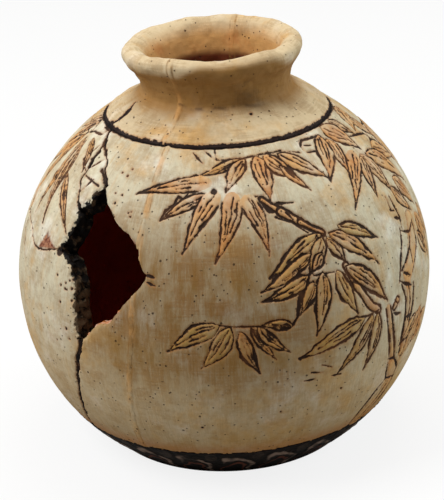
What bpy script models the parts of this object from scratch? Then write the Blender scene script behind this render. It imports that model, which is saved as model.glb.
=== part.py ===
"""Small round clay chiminea pot: a mended, press-moulded belly with a broken side opening.

Metres, +Z up, origin at the centre of the base. The side opening faces -Y.
Azimuth is in degrees from -Y, growing towards +X.
"""

import math

import bmesh
import bpy
from mathutils import Vector
from mathutils.geometry import delaunay_2d_cdt

MM = 0.001

# Belly: two superellipse quarters that meet at the widest ring.
BELLY_RADIUS = 75.0 * MM
BELLY_CENTRE_Z = 61.0 * MM
UPPER_STRETCH = 0.97
UPPER_POWER = 1.93
LOWER_STRETCH = 0.99
LOWER_POWER = 2.06
WALL = 7.5 * MM

# Heights of the two horizontal joints on the outer face.
COLLAR_Z = 121.6 * MM
FOOT_TOP_Z = 16.0 * MM

# A joint is a layer of filler with a running gap on both sides.
FILL_HALF = 0.3 * MM
JOINT_GAP = 0.3 * MM
JOINT_HALF = FILL_HALF + JOINT_GAP

# How far a strip of filler stops short of the layer it runs into, by how slanted it is.
END_SQUARE = 0.75 * MM
END_SLANTED = 1.2 * MM
END_FORK = 1.5 * MM
END_FREE = 0.15 * MM

# Mould seams, as azimuths.
SEAM_FRONT_TOP = 13.0
SEAM_FRONT_LOW = 8.0
SEAM_FRONT_LOW_Z = 20.0 * MM
SEAM_FRONT_TOP_Z = 65.0 * MM
SEAM_BACK = 197.0
NECK_SEAM_FRONT = 10.0
NECK_SEAM_BACK = 200.0

# Neck and rim.
THROAT_RADIUS = 20.8 * MM
NECK_WAIST_RADIUS = 26.5 * MM
NECK_WAIST_Z = 132.0 * MM
RIM_RADIUS = 31.4 * MM
RIM_WIDEST_Z = 144.4 * MM
RIM_TOP_RADIUS = 27.9 * MM
RIM_TOP_Z = 147.4 * MM
RIM_LIP_RADIUS = 25.0 * MM
RIM_WAVE_START_Z = 128.0 * MM
RIM_WAVES = ((0.75 * MM, 1, 120.0), (0.45 * MM, 2, 30.0), (0.25 * MM, 5, 10.0))
NECK_LEAN = Vector((-0.8 * MM, -0.6 * MM, 0.0))

# Foot and floor.
FLOOR_TOP_Z = 12.0 * MM
LEDGE_Z = 6.0 * MM
LEDGE_RADIUS = 34.0 * MM
REBATE_RADIUS = 42.0 * MM
FOOT_CHAMFER = 0.8 * MM

# Facets.
AZIMUTH_STEP = 7.5
HEIGHT_STEP = 10.0 * MM
RING_STEPS = 60
NECK_STEP = 7.5
SHEET_CLEARANCE = 0.45
FLAT_CORNER = 0.12

# Broken edge of the opening and the cracks that run from it: (azimuth, height in mm).
TOP_POINT = (-7.2, 109.2)
LEFT_CORNER = (-15.1, 87.4)
BOTTOM_POINT = (-3.6, 59.0)
SEAM_UPPER_END = (12.8, 94.4)
SEAM_LOWER_END = (12.7, 79.6)
SPLINTER_FOOT = (-14.0, 101.3)
EDGE_TOP_RIGHT = ((-3.2, 105.1), (1.3, 101.7), (4.5, 99.6), (7.9, 98.1), (11.0, 96.5))
EDGE_RIGHT_CORNER = ((13.5, 90.4), (14.7, 88.2), (16.1, 86.3), (15.7, 84.3), (13.8, 81.5))
EDGE_LOWER_RIGHT = (
    (10.1, 75.8), (8.1, 72.6), (6.0, 69.3), (2.9, 67.4), (0.9, 65.8), (-0.5, 63.1),
)
EDGE_LOWER_LEFT = ((-4.8, 65.3), (-5.8, 73.7), (-6.4, 78.6), (-9.1, 83.5), (-11.8, 86.5))
EDGE_UPPER_LEFT = ((-13.8, 91.1), (-12.3, 94.1), (-12.2, 97.6))
EDGE_SPLINTER = ((-11.7, 102.2), (-9.7, 103.5), (-9.4, 106.2))
TOP_CRACK_END = (-30.0, 121.6)
CRACK_FORK = (-23.3, 118.4)
TOP_CRACK = ((-18.1, 116.9), (-12.5, 114.2))
SPLINTER_CRACK = (
    (-21.8, 116.1), (-22.5, 114.1), (-20.8, 111.6), (-20.7, 108.8), (-18.9, 106.0), (-16.5, 103.6),
)
LEFT_CRACK = (
    (-26.5, 83.3), (-30.7, 83.4), (-36.1, 86.8), (-44.3, 88.3), (-60.0, 86.0),
    (-80.0, 89.0), (-104.0, 85.0), (-130.0, 88.0),
)
LEFT_CRACK_END = (SEAM_BACK - 360.0, 86.0)
BOTTOM_CRACK = ((-5.6, 51.5), (-7.2, 45.5), (-9.6, 34.6))
BOTTOM_CRACK_END = (-16.4, 16.0)

CREAM_SLIP = (0.74, 0.60, 0.42)
GOLDEN_SLIP = (0.70, 0.52, 0.32)
DARK_BROWN = (0.09, 0.055, 0.04)
FOOT_BROWN = (0.11, 0.085, 0.07)
RED_CLAY = (0.38, 0.16, 0.09)
SEAM_ORANGE = (0.72, 0.42, 0.24)
GROUT_BROWN = (0.16, 0.09, 0.06)


def clear_scene():
    """Removes every object, so the part starts from nothing."""
    for old in list(bpy.data.objects):
        bpy.data.objects.remove(old)


def clay(name, colour, roughness):
    """A matt clay finish."""
    finish = bpy.data.materials.new(name)
    finish.use_nodes = True
    shader = finish.node_tree.nodes["Principled BSDF"]
    shader.inputs["Base Color"].default_value = (*colour, 1.0)
    shader.inputs["Roughness"].default_value = roughness
    shader.inputs["Metallic"].default_value = 0.0
    return finish


def outer_radius(z):
    """Radius of the belly's outer face at height z."""
    rise = (z - BELLY_CENTRE_Z) / BELLY_RADIUS
    stretch, power = (UPPER_STRETCH, UPPER_POWER) if rise >= 0.0 else (LOWER_STRETCH, LOWER_POWER)
    left = 1.0 - (abs(rise) / stretch) ** power
    return BELLY_RADIUS * max(left, 0.0) ** (1.0 / power)


def outer_normal(z):
    """Outward normal of the belly's profile at height z, as (radial, vertical)."""
    reach = 0.01 * MM
    slope = (outer_radius(z + reach) - outer_radius(z - reach)) / (2.0 * reach)
    length = math.hypot(1.0, slope)
    return 1.0 / length, -slope / length


def profile_point(z, depth):
    """(radius, height) of the point this deep in the wall, straight in from height z."""
    radial, vertical = outer_normal(z)
    return outer_radius(z) - depth * radial, z - depth * vertical


def around(azimuth, radius, z):
    """The point at this azimuth, radius and height."""
    angle = math.radians(azimuth)
    return Vector((radius * math.sin(angle), -radius * math.cos(angle), z))


def seam_azimuth(z):
    """Azimuth of the belly's front mould seam, which drifts to the left near the foot."""
    along = (z - SEAM_FRONT_LOW_Z) / (SEAM_FRONT_TOP_Z - SEAM_FRONT_LOW_Z)
    along = min(max(along, 0.0), 1.0)
    return SEAM_FRONT_LOW + (SEAM_FRONT_TOP - SEAM_FRONT_LOW) * along


def metres(points):
    """Turns (azimuth, millimetres) into (azimuth, metres)."""
    return [(azimuth, height * MM) for azimuth, height in points]


def refined(points):
    """The same open line, with points added so no step is too long to follow the wall."""
    line = []
    for start, end in zip(points, points[1:]):
        turns = abs(end[0] - start[0]) / AZIMUTH_STEP
        climbs = abs(end[1] - start[1]) / HEIGHT_STEP
        count = max(1, math.ceil(max(turns, climbs) - 0.01))
        for index in range(count):
            part = index / count
            line.append((start[0] + (end[0] - start[0]) * part, start[1] + (end[1] - start[1]) * part))
    line.append(points[-1])
    return line


def local_step(start, end):
    """The step between two wall points as (east, north) distances on the wall."""
    middle = 0.5 * (start[1] + end[1])
    east = math.radians(end[0] - start[0]) * outer_radius(middle)
    north = (end[1] - start[1]) / outer_normal(middle)[0]
    return Vector((east, north))


def moved(point, shift):
    """The wall point after this (east, north) shift."""
    azimuth = point[0] + math.degrees(shift.x / outer_radius(point[1]))
    return azimuth, point[1] + shift.y * outer_normal(point[1])[0]


def left_of(step):
    """Unit vector to the left of a step."""
    return Vector((-step.y, step.x)).normalized()


def corner_shift(before, before_gap, after, after_gap):
    """How far a corner moves when both its edges move to their left by their own gaps."""
    first = left_of(before)
    second = left_of(after)
    twist = first.x * second.y - first.y * second.x
    if abs(twist) < FLAT_CORNER:
        return (first + second).normalized() * 0.5 * (before_gap + after_gap)
    east = (before_gap * second.y - after_gap * first.y) / twist
    north = (first.x * after_gap - second.x * before_gap) / twist
    return Vector((east, north))


def set_back(loop, gaps):
    """Moves each edge of an anticlockwise outline inwards by its own gap."""
    result = []
    for index, point in enumerate(loop):
        before = local_step(loop[index - 1], point)
        after = local_step(point, loop[(index + 1) % len(loop)])
        shift = corner_shift(before, gaps[index - 1], after, gaps[index])
        result.append(moved(point, shift))
    return result


def outline_of(runs):
    """Joins runs of (points, gap) into one closed outline, set back from its joints."""
    loop = []
    gaps = []
    for points, gap in runs:
        line = refined(points)
        loop += line[:-1]
        gaps += [gap] * (len(line) - 1)
    return set_back(loop, gaps)


def flat(point):
    """A wall point on the flat sheet where the facets are laid out."""
    return Vector((point[0] / AZIMUTH_STEP, point[1] / HEIGHT_STEP))


def distance_to_edge(spot, start, end):
    """Distance from a point to an edge on the flat sheet."""
    run = end - start
    part = min(max((spot - start).dot(run) / max(run.length_squared, 1e-12), 0.0), 1.0)
    return (spot - start - run * part).length


def inside(spot, sheet):
    """True when the point is inside the closed outline."""
    crossings = 0
    for index, end in enumerate(sheet):
        start = sheet[index - 1]
        if (start.y > spot.y) == (end.y > spot.y):
            continue
        across = start.x + (spot.y - start.y) / (end.y - start.y) * (end.x - start.x)
        crossings += across > spot.x
    return crossings % 2 == 1


def grid_inside(sheet):
    """Even grid points that are well inside the outline."""
    columns = range(math.floor(min(spot.x for spot in sheet)), math.ceil(max(spot.x for spot in sheet)) + 1)
    rows = range(math.floor(min(spot.y for spot in sheet)), math.ceil(max(spot.y for spot in sheet)) + 1)
    found = []
    for column in columns:
        for row in rows:
            spot = Vector((column, row))
            if not inside(spot, sheet):
                continue
            nearest = min(distance_to_edge(spot, sheet[i - 1], sheet[i]) for i in range(len(sheet)))
            if nearest > SHEET_CLEARANCE:
                found.append(spot)
    return found


def facets_of(outline):
    """Triangles that fill an outline: (points as azimuth and height, triples)."""
    sheet = [flat(point) for point in outline]
    spots = sheet + grid_inside(sheet)
    ring = list(range(len(sheet)))
    laid, _, triples, *_ = delaunay_2d_cdt(spots, [], [ring], 1, 1e-7)
    points = [(spot.x * AZIMUTH_STEP, spot.y * HEIGHT_STEP) for spot in laid]
    return points, triples


def add_object(name, shape, finish, smooth):
    """Turns a finished bmesh into a named object."""
    bmesh.ops.recalc_face_normals(shape, faces=shape.faces)
    mesh = bpy.data.meshes.new(name)
    shape.to_mesh(mesh)
    shape.free()
    mesh.materials.append(finish)
    node = bpy.data.objects.new(name, mesh)
    bpy.context.scene.collection.objects.link(node)
    if smooth:
        mesh.shade_smooth()
        mesh.set_sharp_from_angle(angle=math.radians(35.0))
    return node


def wall_plate(name, outline, finish):
    """A closed piece of the belly wall with this outline on its outer face."""
    points, triples = facets_of(outline)
    shape = bmesh.new()
    azimuths = shape.verts.layers.float.new("azimuth")
    heights = shape.verts.layers.float.new("height")
    corners = []
    for azimuth, height in points:
        corner = shape.verts.new(around(azimuth, outer_radius(height), height))
        corner[azimuths] = azimuth
        corner[heights] = height
        corners.append(corner)
    for triple in triples:
        shape.faces.new([corners[index] for index in triple])
    pushed = bmesh.ops.extrude_face_region(shape, geom=shape.faces[:])
    for item in pushed["geom"]:
        if isinstance(item, bmesh.types.BMVert):
            item.co = around(item[azimuths], *profile_point(item[heights], WALL))
    shape.verts.layers.float.remove(shape.verts.layers.float["azimuth"])
    shape.verts.layers.float.remove(shape.verts.layers.float["height"])
    return add_object(name, shape, finish, True)


def ribbon_outline(points, start_gap, end_gap):
    """Outline of a thin strip along an open line, cut back at both ends."""
    line = refined(points)
    steps = [local_step(start, end) for start, end in zip(line, line[1:])]
    line[0] = moved(line[0], steps[0].normalized() * start_gap)
    line[-1] = moved(line[-1], steps[-1].normalized() * -end_gap)
    right = []
    left = []
    for index, point in enumerate(line):
        before = steps[max(index - 1, 0)]
        after = steps[min(index, len(steps) - 1)]
        shift = corner_shift(before, FILL_HALF, after, FILL_HALF)
        left.append(moved(point, shift))
        right.append(moved(point, -shift))
    return right + left[::-1]


def ribbon(name, points, start_gap, end_gap, finish):
    """A closed strip of filler, as deep as the wall, along a line on the wall."""
    outline = ribbon_outline(points, start_gap, end_gap)
    half = len(outline) // 2
    shape = bmesh.new()
    outer = [shape.verts.new(around(a, outer_radius(z), z)) for a, z in outline]
    inner = [shape.verts.new(around(a, *profile_point(z, WALL))) for a, z in outline]
    for index in range(len(outline)):
        after = (index + 1) % len(outline)
        shape.faces.new((outer[index], outer[after], inner[after], inner[index]))
    for index in range(half - 1):
        mirror = len(outline) - 1 - index
        for side in (outer, inner):
            shape.faces.new((side[index], side[index + 1], side[mirror - 1], side[mirror]))
    return add_object(name, shape, finish, False)


def lathe_ring(name, profile, finish):
    """A closed ring from a closed (radius, height) profile."""
    shape = bmesh.new()
    corners = [shape.verts.new(around(0.0, radius, z)) for radius, z in profile]
    edges = [shape.edges.new((corners[i - 1], corners[i])) for i in range(len(corners))]
    bmesh.ops.spin(
        shape, geom=corners + edges, cent=(0, 0, 0), axis=(0, 0, 1),
        angle=math.tau, steps=RING_STEPS, use_merge=True,
    )
    return add_object(name, shape, finish, True)


def neck_profile():
    """Closed (radius, height) profile of the neck, from the collar joint round the rim."""
    outer_low = joint_line(COLLAR_Z, JOINT_HALF, 0.0)
    inner_low = joint_line(COLLAR_Z, JOINT_HALF, WALL)
    return [
        outer_low,
        (33.4 * MM, 125.9 * MM),
        (29.2 * MM, 128.4 * MM),
        (27.0 * MM, 130.2 * MM),
        (NECK_WAIST_RADIUS, NECK_WAIST_Z),
        (26.9 * MM, 135.0 * MM),
        (28.3 * MM, 138.6 * MM),
        (30.4 * MM, 141.6 * MM),
        (RIM_RADIUS, RIM_WIDEST_Z),
        (30.6 * MM, 146.4 * MM),
        (RIM_TOP_RADIUS, RIM_TOP_Z),
        (RIM_LIP_RADIUS, 145.8 * MM),
        (22.9 * MM, 142.0 * MM),
        (21.4 * MM, 137.0 * MM),
        (THROAT_RADIUS, 131.0 * MM),
        (21.4 * MM, 125.4 * MM),
        (24.4 * MM, 121.4 * MM),
        (30.0 * MM, 118.6 * MM),
        inner_low,
    ]


def joint_line(z, rise, depth):
    """(radius, height) in a joint that crosses the wall at height z, moved up by rise."""
    radial, vertical = outer_normal(z)
    radius, height = profile_point(z, depth)
    return radius - vertical * rise, height + radial * rise


def wave_rim(shape):
    """Gives the neck its hand-pinched waves and its slight lean."""
    for corner in shape.verts:
        reach = (corner.co.z - RIM_WAVE_START_Z) / (RIM_TOP_Z - RIM_WAVE_START_Z)
        reach = min(max(reach, 0.0), 1.0)
        azimuth = math.degrees(math.atan2(corner.co.x, -corner.co.y))
        wave = sum(
            height * math.cos(math.radians(lobes * (azimuth - start)))
            for height, lobes, start in RIM_WAVES
        )
        corner.co.z += wave * reach * reach
        corner.co += NECK_LEAN * reach


def beside(azimuth):
    """Level unit vector across the upright plane at this azimuth, towards a greater azimuth."""
    angle = math.radians(azimuth)
    return Vector((math.cos(angle), math.sin(angle), 0.0))


def neck_half(name, start, end, finish):
    """Half of the neck and rim, between two mould seams."""
    shape = bmesh.new()
    corners = [shape.verts.new(around(start, radius, z)) for radius, z in neck_profile()]
    face = shape.faces.new(corners)
    steps = round((end - start) / NECK_STEP)
    bmesh.ops.spin(
        shape, geom=[face], cent=(0, 0, 0), axis=(0, 0, 1),
        angle=math.radians(end - start), steps=steps,
    )
    for azimuth, side in ((start, 1.0), (end, -1.0)):
        across = beside(azimuth)
        for corner in shape.verts:
            along = corner.co.dot(around(azimuth, 1.0, 0.0))
            if abs(corner.co.dot(across)) < 0.001 * MM and along > 0.0:
                corner.co += across * side * JOINT_HALF
    wave_rim(shape)
    return add_object(name, shape, finish, True)


def neck_seam_fill(name, azimuth, finish):
    """The thin upright layer that joins the neck's two halves."""
    shape = bmesh.new()
    across = beside(azimuth)
    corners = [
        shape.verts.new(around(azimuth, radius, z) - across * FILL_HALF)
        for radius, z in neck_profile()
    ]
    face = shape.faces.new(corners)
    pushed = bmesh.ops.extrude_face_region(shape, geom=[face])
    moving = [item for item in pushed["geom"] if isinstance(item, bmesh.types.BMVert)]
    bmesh.ops.translate(shape, verts=moving, vec=across * 2.0 * FILL_HALF)
    wave_rim(shape)
    return add_object(name, shape, finish, False)


def horizontal_fill(name, z, finish):
    """A level ring of filler that crosses the wall at height z."""
    profile = [
        joint_line(z, -FILL_HALF, 0.0),
        joint_line(z, FILL_HALF, 0.0),
        joint_line(z, FILL_HALF, WALL),
        joint_line(z, -FILL_HALF, WALL),
    ]
    return lathe_ring(name, profile, finish)


def foot_ring(finish):
    """The dark foot: the belly's own curve carried down to a flat ring, with a floor rebate."""
    outer_top = joint_line(FOOT_TOP_Z, -JOINT_HALF, 0.0)
    inner_top = joint_line(FOOT_TOP_Z, -JOINT_HALF, WALL)
    rows = 4
    curve = []
    for index in range(1, rows + 1):
        z = outer_top[1] + (FOOT_CHAMFER - outer_top[1]) * index / rows
        curve.append((outer_radius(z), z))
    base_radius = outer_radius(0.0) - FOOT_CHAMFER
    profile = [outer_top, *curve]
    profile += [(base_radius, 0.0), (LEDGE_RADIUS, 0.0), (LEDGE_RADIUS, LEDGE_Z)]
    profile += [(REBATE_RADIUS, LEDGE_Z), (REBATE_RADIUS, FLOOR_TOP_Z)]
    profile += [inner_top]
    return lathe_ring("foot_ring", profile, finish)


def floor_slab(finish):
    """The round floor, dropped into the foot's rebate from above."""
    shape = bmesh.new()
    thickness = FLOOR_TOP_Z - LEDGE_Z - JOINT_GAP
    bmesh.ops.create_cone(
        shape, cap_ends=True, cap_tris=True, segments=RING_STEPS,
        radius1=REBATE_RADIUS - JOINT_GAP - FILL_HALF,
        radius2=REBATE_RADIUS - JOINT_GAP - FILL_HALF, depth=thickness,
    )
    middle = LEDGE_Z + JOINT_GAP + 0.5 * thickness
    bmesh.ops.translate(shape, verts=shape.verts, vec=(0.0, 0.0, middle))
    return add_object("floor_slab", shape, finish, True)


def seam_line(top, bottom):
    """The front mould seam from one height down to another."""
    points = [(seam_azimuth(top), top)]
    if bottom < SEAM_FRONT_TOP_Z < top:
        points.append((SEAM_FRONT_TOP, SEAM_FRONT_TOP_Z))
    if bottom < SEAM_FRONT_LOW_Z < top:
        points.append((SEAM_FRONT_LOW, SEAM_FRONT_LOW_Z))
    points.append((seam_azimuth(bottom), bottom))
    return points


def belly_lines():
    """Every line on the belly wall, by name, as (azimuth, height) points."""
    upper_end, lower_end, top, corner, bottom, fork, top_end, left_end, foot_end, splinter = metres(
        (SEAM_UPPER_END, SEAM_LOWER_END, TOP_POINT, LEFT_CORNER, BOTTOM_POINT, CRACK_FORK,
         TOP_CRACK_END, LEFT_CRACK_END, BOTTOM_CRACK_END, SPLINTER_FOOT)
    )
    seam_foot = (seam_azimuth(FOOT_TOP_Z), FOOT_TOP_Z)
    return {
        "seam_upper": [(SEAM_FRONT_TOP, COLLAR_Z), upper_end],
        "seam_lower": [lower_end, *seam_line(SEAM_FRONT_TOP_Z, FOOT_TOP_Z)],
        "seam_back": [(SEAM_BACK, FOOT_TOP_Z), (SEAM_BACK, COLLAR_Z)],
        "edge_top_right": [upper_end, *metres(EDGE_TOP_RIGHT)[::-1], top],
        "edge_right_corner": [upper_end, *metres(EDGE_RIGHT_CORNER), lower_end],
        "edge_lower_right": [bottom, *metres(EDGE_LOWER_RIGHT)[::-1], lower_end],
        "edge_lower_left": [corner, *metres(EDGE_LOWER_LEFT)[::-1], bottom],
        "edge_upper_left": [splinter, *metres(EDGE_UPPER_LEFT)[::-1], corner],
        "edge_splinter": [top, *metres(EDGE_SPLINTER)[::-1], splinter],
        "crack_top_low": [fork, *metres(TOP_CRACK), top],
        "crack_top_high": [top_end, fork],
        "crack_splinter": [fork, *metres(SPLINTER_CRACK), splinter],
        "crack_left": [corner, *metres(LEFT_CRACK), left_end],
        "crack_bottom": [bottom, *metres(BOTTOM_CRACK), foot_end],
        "foot_front": [foot_end, seam_foot],
        "foot_right": [seam_foot, (SEAM_BACK, FOOT_TOP_Z)],
        "foot_left": [(SEAM_BACK - 360.0, FOOT_TOP_Z), foot_end],
        "collar_front": [(SEAM_FRONT_TOP, COLLAR_Z), top_end],
        "collar_right": [(SEAM_BACK, COLLAR_Z), (SEAM_FRONT_TOP, COLLAR_Z)],
        "collar_left": [top_end, (SEAM_BACK - 360.0, COLLAR_Z)],
        "back_low": [left_end, (SEAM_BACK - 360.0, FOOT_TOP_Z)],
        "back_high": [(SEAM_BACK - 360.0, COLLAR_Z), left_end],
    }


def belly_right_half(lines, finish):
    """The unbroken moulded half, right of the front seam and round to the back seam."""
    outline = outline_of([
        (lines["foot_right"], JOINT_HALF),
        (lines["seam_back"], JOINT_HALF),
        (lines["collar_right"], JOINT_HALF),
        (lines["seam_upper"], JOINT_HALF),
        (lines["edge_right_corner"], 0.0),
        (lines["seam_lower"], JOINT_HALF),
    ])
    return wall_plate("belly_right_half", outline, finish)


def upper_front_shard(lines, finish):
    """The shard over the opening, between the top crack and the front seam."""
    outline = outline_of([
        (lines["seam_upper"][::-1], JOINT_HALF),
        (lines["collar_front"], JOINT_HALF),
        (lines["crack_top_high"], JOINT_HALF),
        (lines["crack_top_low"], JOINT_HALF),
        (lines["edge_top_right"][::-1], 0.0),
    ])
    return wall_plate("upper_front_shard", outline, finish)


def splinter_shard(lines, finish):
    """The narrow splinter between the two upper cracks."""
    outline = outline_of([
        (lines["crack_top_low"][::-1], JOINT_HALF),
        (lines["crack_splinter"], JOINT_HALF),
        (lines["edge_splinter"][::-1], 0.0),
    ])
    return wall_plate("splinter_shard", outline, finish)


def upper_left_shard(lines, finish):
    """The upper left of the broken half, from the splinter round to the back seam."""
    outline = outline_of([
        (lines["crack_left"][::-1], JOINT_HALF),
        (lines["edge_upper_left"][::-1], 0.0),
        (lines["crack_splinter"][::-1], JOINT_HALF),
        (lines["crack_top_high"][::-1], JOINT_HALF),
        (lines["collar_left"], JOINT_HALF),
        (lines["back_high"], JOINT_HALF),
    ])
    return wall_plate("upper_left_shard", outline, finish)


def lower_left_shard(lines, finish):
    """The lower left of the broken half, from the bottom crack round to the back seam."""
    outline = outline_of([
        (lines["foot_left"], JOINT_HALF),
        (lines["crack_bottom"][::-1], JOINT_HALF),
        (lines["edge_lower_left"][::-1], 0.0),
        (lines["crack_left"], JOINT_HALF),
        (lines["back_low"], JOINT_HALF),
    ])
    return wall_plate("lower_left_shard", outline, finish)


def lower_front_shard(lines, finish):
    """The shard under the opening, between the bottom crack and the front seam."""
    outline = outline_of([
        (lines["foot_front"], JOINT_HALF),
        (lines["seam_lower"][::-1], JOINT_HALF),
        (lines["edge_lower_right"][::-1], 0.0),
        (lines["crack_bottom"], JOINT_HALF),
    ])
    return wall_plate("lower_front_shard", outline, finish)


def belly_fills(lines, seam_finish, crack_finish):
    """The strips of filler in the belly's seams and cracks."""
    top_crack = lines["crack_top_high"][:-1] + lines["crack_top_low"]
    ribbon("front_seam_fill_upper", lines["seam_upper"], END_SQUARE, END_FREE, seam_finish)
    ribbon("front_seam_fill_lower", lines["seam_lower"], END_FREE, END_SQUARE, seam_finish)
    ribbon("back_seam_fill", lines["seam_back"], END_SQUARE, END_SQUARE, seam_finish)
    ribbon("top_crack_fill", top_crack, END_SLANTED, END_FREE, crack_finish)
    ribbon("splinter_crack_fill", lines["crack_splinter"], END_FORK, END_FREE, crack_finish)
    ribbon("left_crack_fill", lines["crack_left"], END_FREE, END_SQUARE, crack_finish)
    ribbon("bottom_crack_fill", lines["crack_bottom"], END_FREE, END_SLANTED, crack_finish)


def build():
    """Builds every sub-part in place."""
    clear_scene()
    cream = clay("cream slip", CREAM_SLIP, 0.85)
    golden = clay("golden slip", GOLDEN_SLIP, 0.8)
    foot_brown = clay("foot brown", FOOT_BROWN, 0.75)
    red_clay = clay("red clay", RED_CLAY, 0.9)
    crack_brown = clay("crack brown", DARK_BROWN, 0.95)
    grout = clay("grout brown", GROUT_BROWN, 0.95)
    seam_orange = clay("seam orange", SEAM_ORANGE, 0.85)
    lines = belly_lines()
    foot_ring(foot_brown)
    floor_slab(red_clay)
    belly_right_half(lines, cream)
    upper_front_shard(lines, cream)
    splinter_shard(lines, cream)
    upper_left_shard(lines, cream)
    lower_left_shard(lines, cream)
    lower_front_shard(lines, cream)
    neck_half("neck_right_half", NECK_SEAM_FRONT, NECK_SEAM_BACK, golden)
    neck_half("neck_left_half", NECK_SEAM_BACK, NECK_SEAM_FRONT + 360.0, golden)
    neck_seam_fill("neck_front_seam_fill", NECK_SEAM_FRONT, seam_orange)
    neck_seam_fill("neck_back_seam_fill", NECK_SEAM_BACK, seam_orange)
    horizontal_fill("collar_joint_fill", COLLAR_Z, grout)
    horizontal_fill("foot_joint_fill", FOOT_TOP_Z, grout)
    belly_fills(lines, seam_orange, crack_brown)


build()
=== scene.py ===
"""Looks of a small round clay chiminea pot: brushed cream slip, incised bamboo, mended cracks.

Lengths inside this file are millimetres unless a name says metres. Azimuth is in degrees
from -Y, growing towards +X. The side opening faces -Y.
"""

import functools
import itertools
import logging
import math
from collections.abc import Callable, Mapping
from dataclasses import dataclass, field
from enum import Enum

import bpy
import numpy as np
from mathutils import Matrix, Vector


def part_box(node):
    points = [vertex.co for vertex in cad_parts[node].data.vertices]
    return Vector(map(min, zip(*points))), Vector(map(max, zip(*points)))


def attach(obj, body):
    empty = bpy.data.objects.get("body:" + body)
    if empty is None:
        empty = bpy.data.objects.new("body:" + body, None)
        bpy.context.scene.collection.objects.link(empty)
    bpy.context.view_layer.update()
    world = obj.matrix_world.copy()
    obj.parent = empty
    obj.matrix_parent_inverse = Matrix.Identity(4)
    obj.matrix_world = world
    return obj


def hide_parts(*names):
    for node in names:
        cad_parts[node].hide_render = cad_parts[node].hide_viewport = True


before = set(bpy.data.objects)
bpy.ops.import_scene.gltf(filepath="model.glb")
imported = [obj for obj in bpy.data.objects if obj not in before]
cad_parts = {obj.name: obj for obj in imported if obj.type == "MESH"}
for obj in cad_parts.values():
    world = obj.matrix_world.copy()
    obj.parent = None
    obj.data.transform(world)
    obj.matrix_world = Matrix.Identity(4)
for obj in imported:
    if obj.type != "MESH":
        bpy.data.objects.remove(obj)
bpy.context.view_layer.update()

LOG = logging.getLogger("pot")
METRES = 0.001
BODY = "root"

Array = np.ndarray
Pairs = list[tuple[float, float]]
Triple = tuple[float, float, float]
Notes = dict[str, Array]
Path = tuple[Array, Array, Notes]
Material = bpy.types.Material
Piece = bpy.types.Object


class Slot(Enum):
    """Names of the material slots."""

    CREAM = "cream_slip"
    GOLDEN = "golden_slip"
    FOOT = "foot_brown"
    RED = "red_clay"
    CRACK = "crack_brown"
    GROUT = "grout_brown"
    SEAM = "seam_orange"


# ---------------------------------------------------------------- number tools


def ease(low: float, high: float, value: Array) -> Array:
    """Smooth step: 0 below low, 1 above high, an S-curve between."""
    part = np.clip((value - low) / (high - low), 0.0, 1.0)
    return part * part * (3.0 - 2.0 * part)


def lattice_noise(points: Array, cell: float, seed: int) -> Array:
    """Smooth random values from -1 to 1.

    Formula: random numbers sit on the corners of cubes of side `cell`; a point takes
    their blend, with eased weights along each side of its cube.

    Args:
        points: (n, 3) positions.
        cell: side of a cube.
        seed: picks another set of numbers.

    Returns:
        (n,) values.
    """
    grid = np.asarray(points, float) / cell
    low = np.floor(grid)
    part = grid - low
    part = part * part * (3.0 - 2.0 * part)
    total = np.zeros(len(grid))
    for corner in itertools.product((0.0, 1.0), repeat=3):
        pick = np.array(corner)
        hashed = np.sin((low + pick) @ np.array([127.1, 311.7, 74.7]) + seed * 17.13) * 43758.5453
        value = (hashed - np.floor(hashed)) * 2.0 - 1.0
        total += value * np.prod(pick * part + (1.0 - pick) * (1.0 - part), axis=1)
    return total


def layered_noise(points: Array, cell: float, layers: int, seed: int) -> Array:
    """Sum of lattice noises, each layer half the size and half the strength of the last."""
    return sum(
        lattice_noise(points, cell / 2**layer, seed + layer) / 2**layer for layer in range(layers)
    )


def line_distance(spots: Array, line: Array) -> tuple[Array, Array]:
    """Distance from each spot to a chain of straight segments, and how far along it falls.

    Args:
        spots: (n, 3) positions.
        line: (m, 3) corners of the chain.

    Returns:
        (n,) distances and (n,) positions along the chain, from 0 to 1.
    """
    best = np.full(len(spots), 1e9)
    place = np.zeros(len(spots))
    reach = np.linalg.norm(np.diff(line, axis=0), axis=1)
    start = np.concatenate([[0.0], np.cumsum(reach)])
    for index, length in enumerate(reach):
        run = line[index + 1] - line[index]
        part = np.clip((spots - line[index]) @ run / max(length**2, 1e-9), 0.0, 1.0)
        gap = np.linalg.norm(spots - line[index] - part[:, None] * run, axis=1)
        nearer = gap < best
        best = np.where(nearer, gap, best)
        place = np.where(nearer, (start[index] + part * length) / start[-1], place)
    return best, place


# ---------------------------------------------------------------- the pot's shape


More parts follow.
